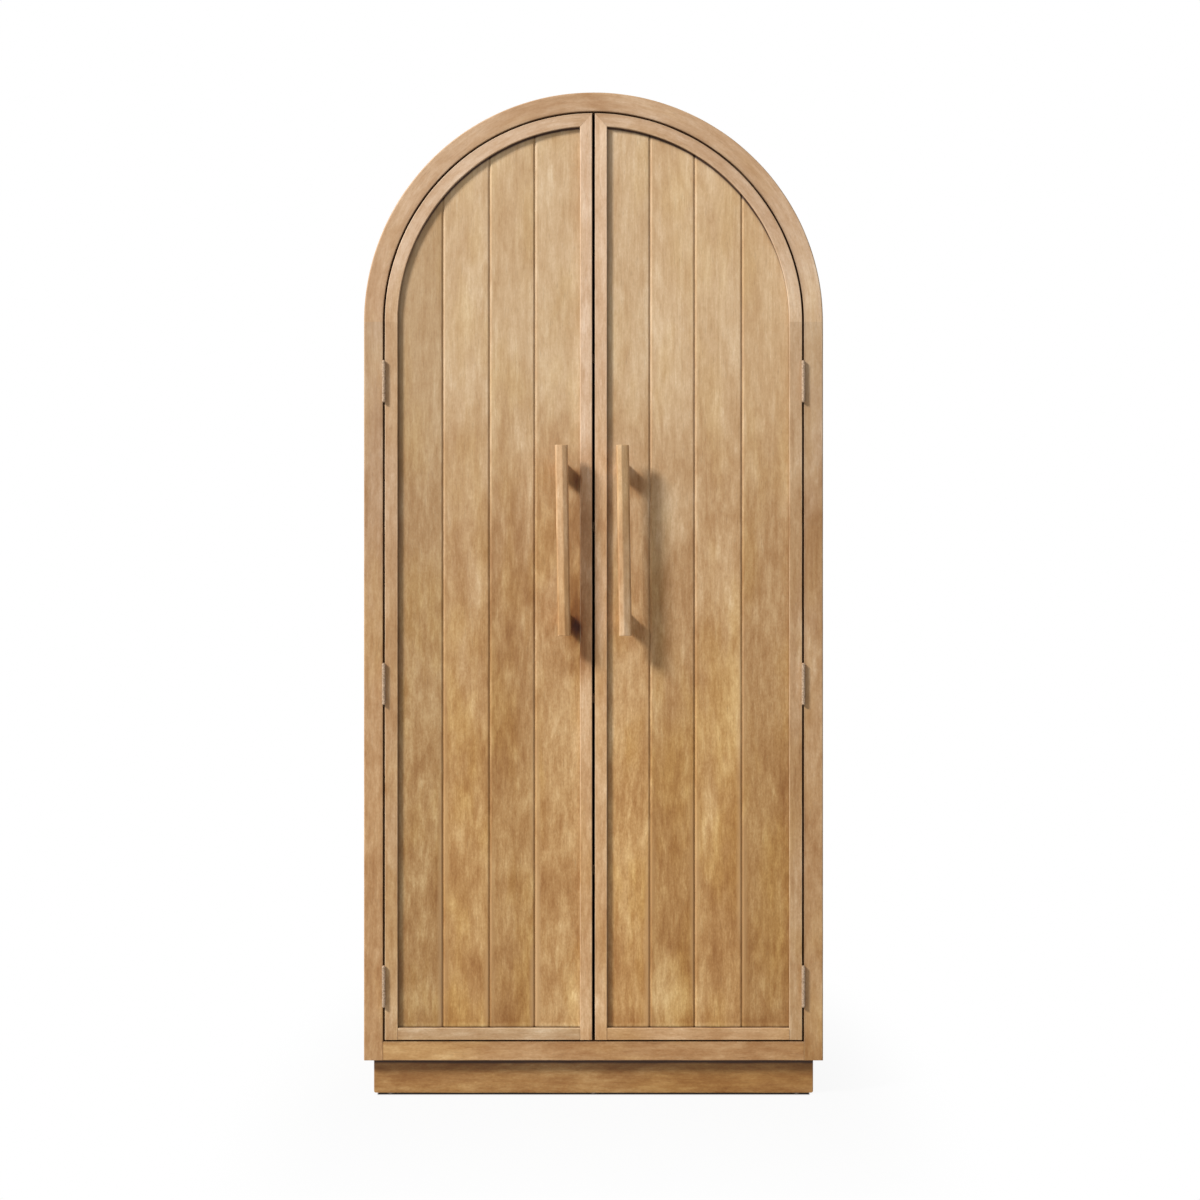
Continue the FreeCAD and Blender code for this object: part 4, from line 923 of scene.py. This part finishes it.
# hollow paints shade under the case's overhang; each (reach, share) band is darkest at the case's foot and
# fades downwards
plinthMarks = {"rub": 0.4, "hollow": ((4.5 * mm, 7.0), (26 * mm, 0.75))}      # (reach, share)
for order, (nodeName, board) in enumerate(plinthBoards.items()):
    low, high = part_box(nodeName)
    bm = openCopy(nodeName)
    cutAlong(bm, board["axis"], low[board["axis"]], high[board["axis"]], plinth["step"])
    lay = board["lay"]
    corners = (lay(low), lay(high))
    edgeLow = Vector(min(pair) for pair in zip(*corners))
    edgeHigh = Vector(max(pair) for pair in zip(*corners))
    edgeHigh.x = beyond
    if board["axis"] == 0:
        outerFace = (low, high)[board["outer"]].y
        wearArrises(bm, lay, acrossZ, (low.z, beyond), outerFace, plinth, order, board["inwards"])
    finish = woodMaterial(nodeName + "_finish", slotNames[nodeName], plinth["seed"] + order,
                          edgeLow, edgeHigh, marks=plinthMarks)
    closePiece(bm, nodeName + "_worn", nodeName, finish, lay)
print("plinth made")


# barrel top: one bent sheet
barrel = {"turnStep": 5.0, "seed": 90.0}
bm = openCopy("barrel_top")
cutRound(bm, 0, 180, barrel["turnStep"])
finish = woodMaterial("barrel_top_finish", slotNames["barrel_top"], barrel["seed"],
                      Vector((-beyond, -beyond, -beyond)), Vector((beyond, beyond, carcassBack)))
closePiece(bm, "barrel_top_bent", "barrel_top", finish, bentSheetLay)
print("barrel top made")


# hinge leaves: every knuckle of the barrel gets rounded ends
hinges = {"radius": 4.0 * mm, "near": 0.05 * mm, "round": 1.8 * mm, "segments": 4}
hingePlace = Vector(frame["joints"][0]["pos_m"])      # one door's; the other's mirrors it


def onKnuckleRim(edge):
    a, b = (vert.co for vert in edge.verts)
    if abs(a.z - b.z) > level:
        return False
    reach = [math.hypot(abs(co.x) - abs(hingePlace.x), co.y - hingePlace.y) for co in (a, b)]
    return all(abs(r - hinges["radius"]) < hinges["near"] for r in reach)


for nodeName in ("left_case_hinge_leaves", "right_case_hinge_leaves",
                 "left_door_hinge_leaves", "right_door_hinge_leaves"):
    bm = openCopy(nodeName)
    softenEdges(bm, onKnuckleRim, hinges["round"], hinges["segments"])
    closePiece(bm, nodeName + "_rounded", nodeName, metals[slotNames[nodeName]], uprightLay)
print("hinges made")


# every other CAD node keeps its shape and gets its finish
grainAlongX = (0, math.radians(90), 0)
lyingPieces = ("shelf", "case_floor", "fixing_rail")
# pieces lying inside are toned darker: painted shade inside the closed case
shadedInsideTone = toneOf(0.7, 0.7)
plainSeed = 100.0
for order, nodeName in enumerate(sorted(set(nodes) - made)):
    slot = slotNames[nodeName]
    node = nodes[nodeName]
    low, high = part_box(nodeName)
    if slot in metals:
        finish = metals[slot]
    else:
        lying = any(word in nodeName for word in lyingPieces)
        finish = woodMaterial(nodeName + "_finish", slot, plainSeed + order, low, high,
                              grainAlongX if lying else (0, 0, 0), shadedInsideTone if lying else evenTone)
    node.data.materials.clear()
    node.data.materials.append(finish)
print("finishes made")


# white room and pale floor
def whiteToCamera(tree):
    path = addNode(tree, "ShaderNodeLightPath").outputs
    seen = calc(tree, "MAXIMUM", path["Is Camera Ray"], path["Is Glossy Ray"])
    return calc(tree, "MAXIMUM", seen, path["Is Transmission Ray"])


world = bpy.data.worlds.new("paleRoom")
scene.world = world
world.use_nodes = True
tree = world.node_tree
tree.nodes.clear()
soft = addNode(tree, "ShaderNodeBackground", {"Color": (1, 1, 1, 1), "Strength": light["sky"]})
white = addNode(tree, "ShaderNodeBackground", {"Color": (1, 1, 1, 1), "Strength": 1.0})
both = addNode(tree, "ShaderNodeMixShader", {0: whiteToCamera(tree), 1: soft.outputs[0], 2: white.outputs[0]})
addNode(tree, "ShaderNodeOutputWorld", {"Surface": both.outputs[0]})

# the floor is nearly white to the camera, with a painted contact shadow close along the plinth's foot;
# sideways is how many times narrower that painted shadow is at the plinth's ends, and inset how far in from
# them it starts
floorLook = {"pale": (0.55, 0.55, 0.55, 1), "dark": (0.05, 0.04, 0.035, 1), "darkReach": 2 * mm,
             "edge": 10 * mm, "sideways": 4, "inset": 10 * mm, "nearReach": 16 * mm,
             "nearWhite": 0.93, "farReach": 1.4, "size": 30}
floorMesh = bpy.data.meshes.new("floor")
bm = bmesh.new()
bmesh.ops.create_grid(bm, x_segments=1, y_segments=1, size=floorLook["size"])
bm.to_mesh(floorMesh)
bm.free()
floor = bpy.data.objects.new("floor", floorMesh)
scene.collection.objects.link(floor)
paleFloor = newMaterial("paleFloor")
tree = paleFloor.node_tree
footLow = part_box("plinth_front")[0]
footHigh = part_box("plinth_rear")[1]
footCentre = (footLow + footHigh) / 2
footHalf = (footHigh - footLow) / 2 - Vector((floorLook["inset"], 0, 0))
ground = addNode(tree, "ShaderNodeTexCoord").outputs["Object"]
fromCentre = vectorCalc(tree, "SUBTRACT", ground, (footCentre.x, footCentre.y, 0))
offset = vectorCalc(tree, "ABSOLUTE", fromCentre)
past = vectorCalc(tree, "SUBTRACT", offset, (footHalf.x, footHalf.y, 0))
outside = vectorCalc(tree, "MAXIMUM", past, (0, 0, 0))
reach = vectorCalc(tree, "LENGTH", vectorCalc(tree, "MULTIPLY", outside, (floorLook["sideways"], 1, 1)))
shade = remap(tree, reach, floorLook["darkReach"], floorLook["edge"], smooth=True)
floorColour = mixed(tree, shade, floorLook["dark"], floorLook["pale"])
matt = addNode(tree, "ShaderNodeBsdfDiffuse", {"Color": floorColour})
glow = addNode(tree, "ShaderNodeEmission", {"Color": (1, 1, 1, 1), "Strength": 1.0})
nearShare = remap(tree, reach, floorLook["darkReach"], floorLook["nearReach"],
                  0.0, floorLook["nearWhite"], smooth=True)
farShare = remap(tree, reach, floorLook["nearReach"], floorLook["farReach"],
                 0.0, 1 - floorLook["nearWhite"], smooth=True)
share = calc(tree, "MULTIPLY", whiteToCamera(tree), calc(tree, "ADD", nearShare, farShare))
both = addNode(tree, "ShaderNodeMixShader", {0: share, 1: matt.outputs[0], 2: glow.outputs[0]})
addNode(tree, "ShaderNodeOutputMaterial", {"Surface": both.outputs[0]})
floorMesh.materials.append(paleFloor)
print("room and floor made")

scene.view_settings.view_transform = "Standard"
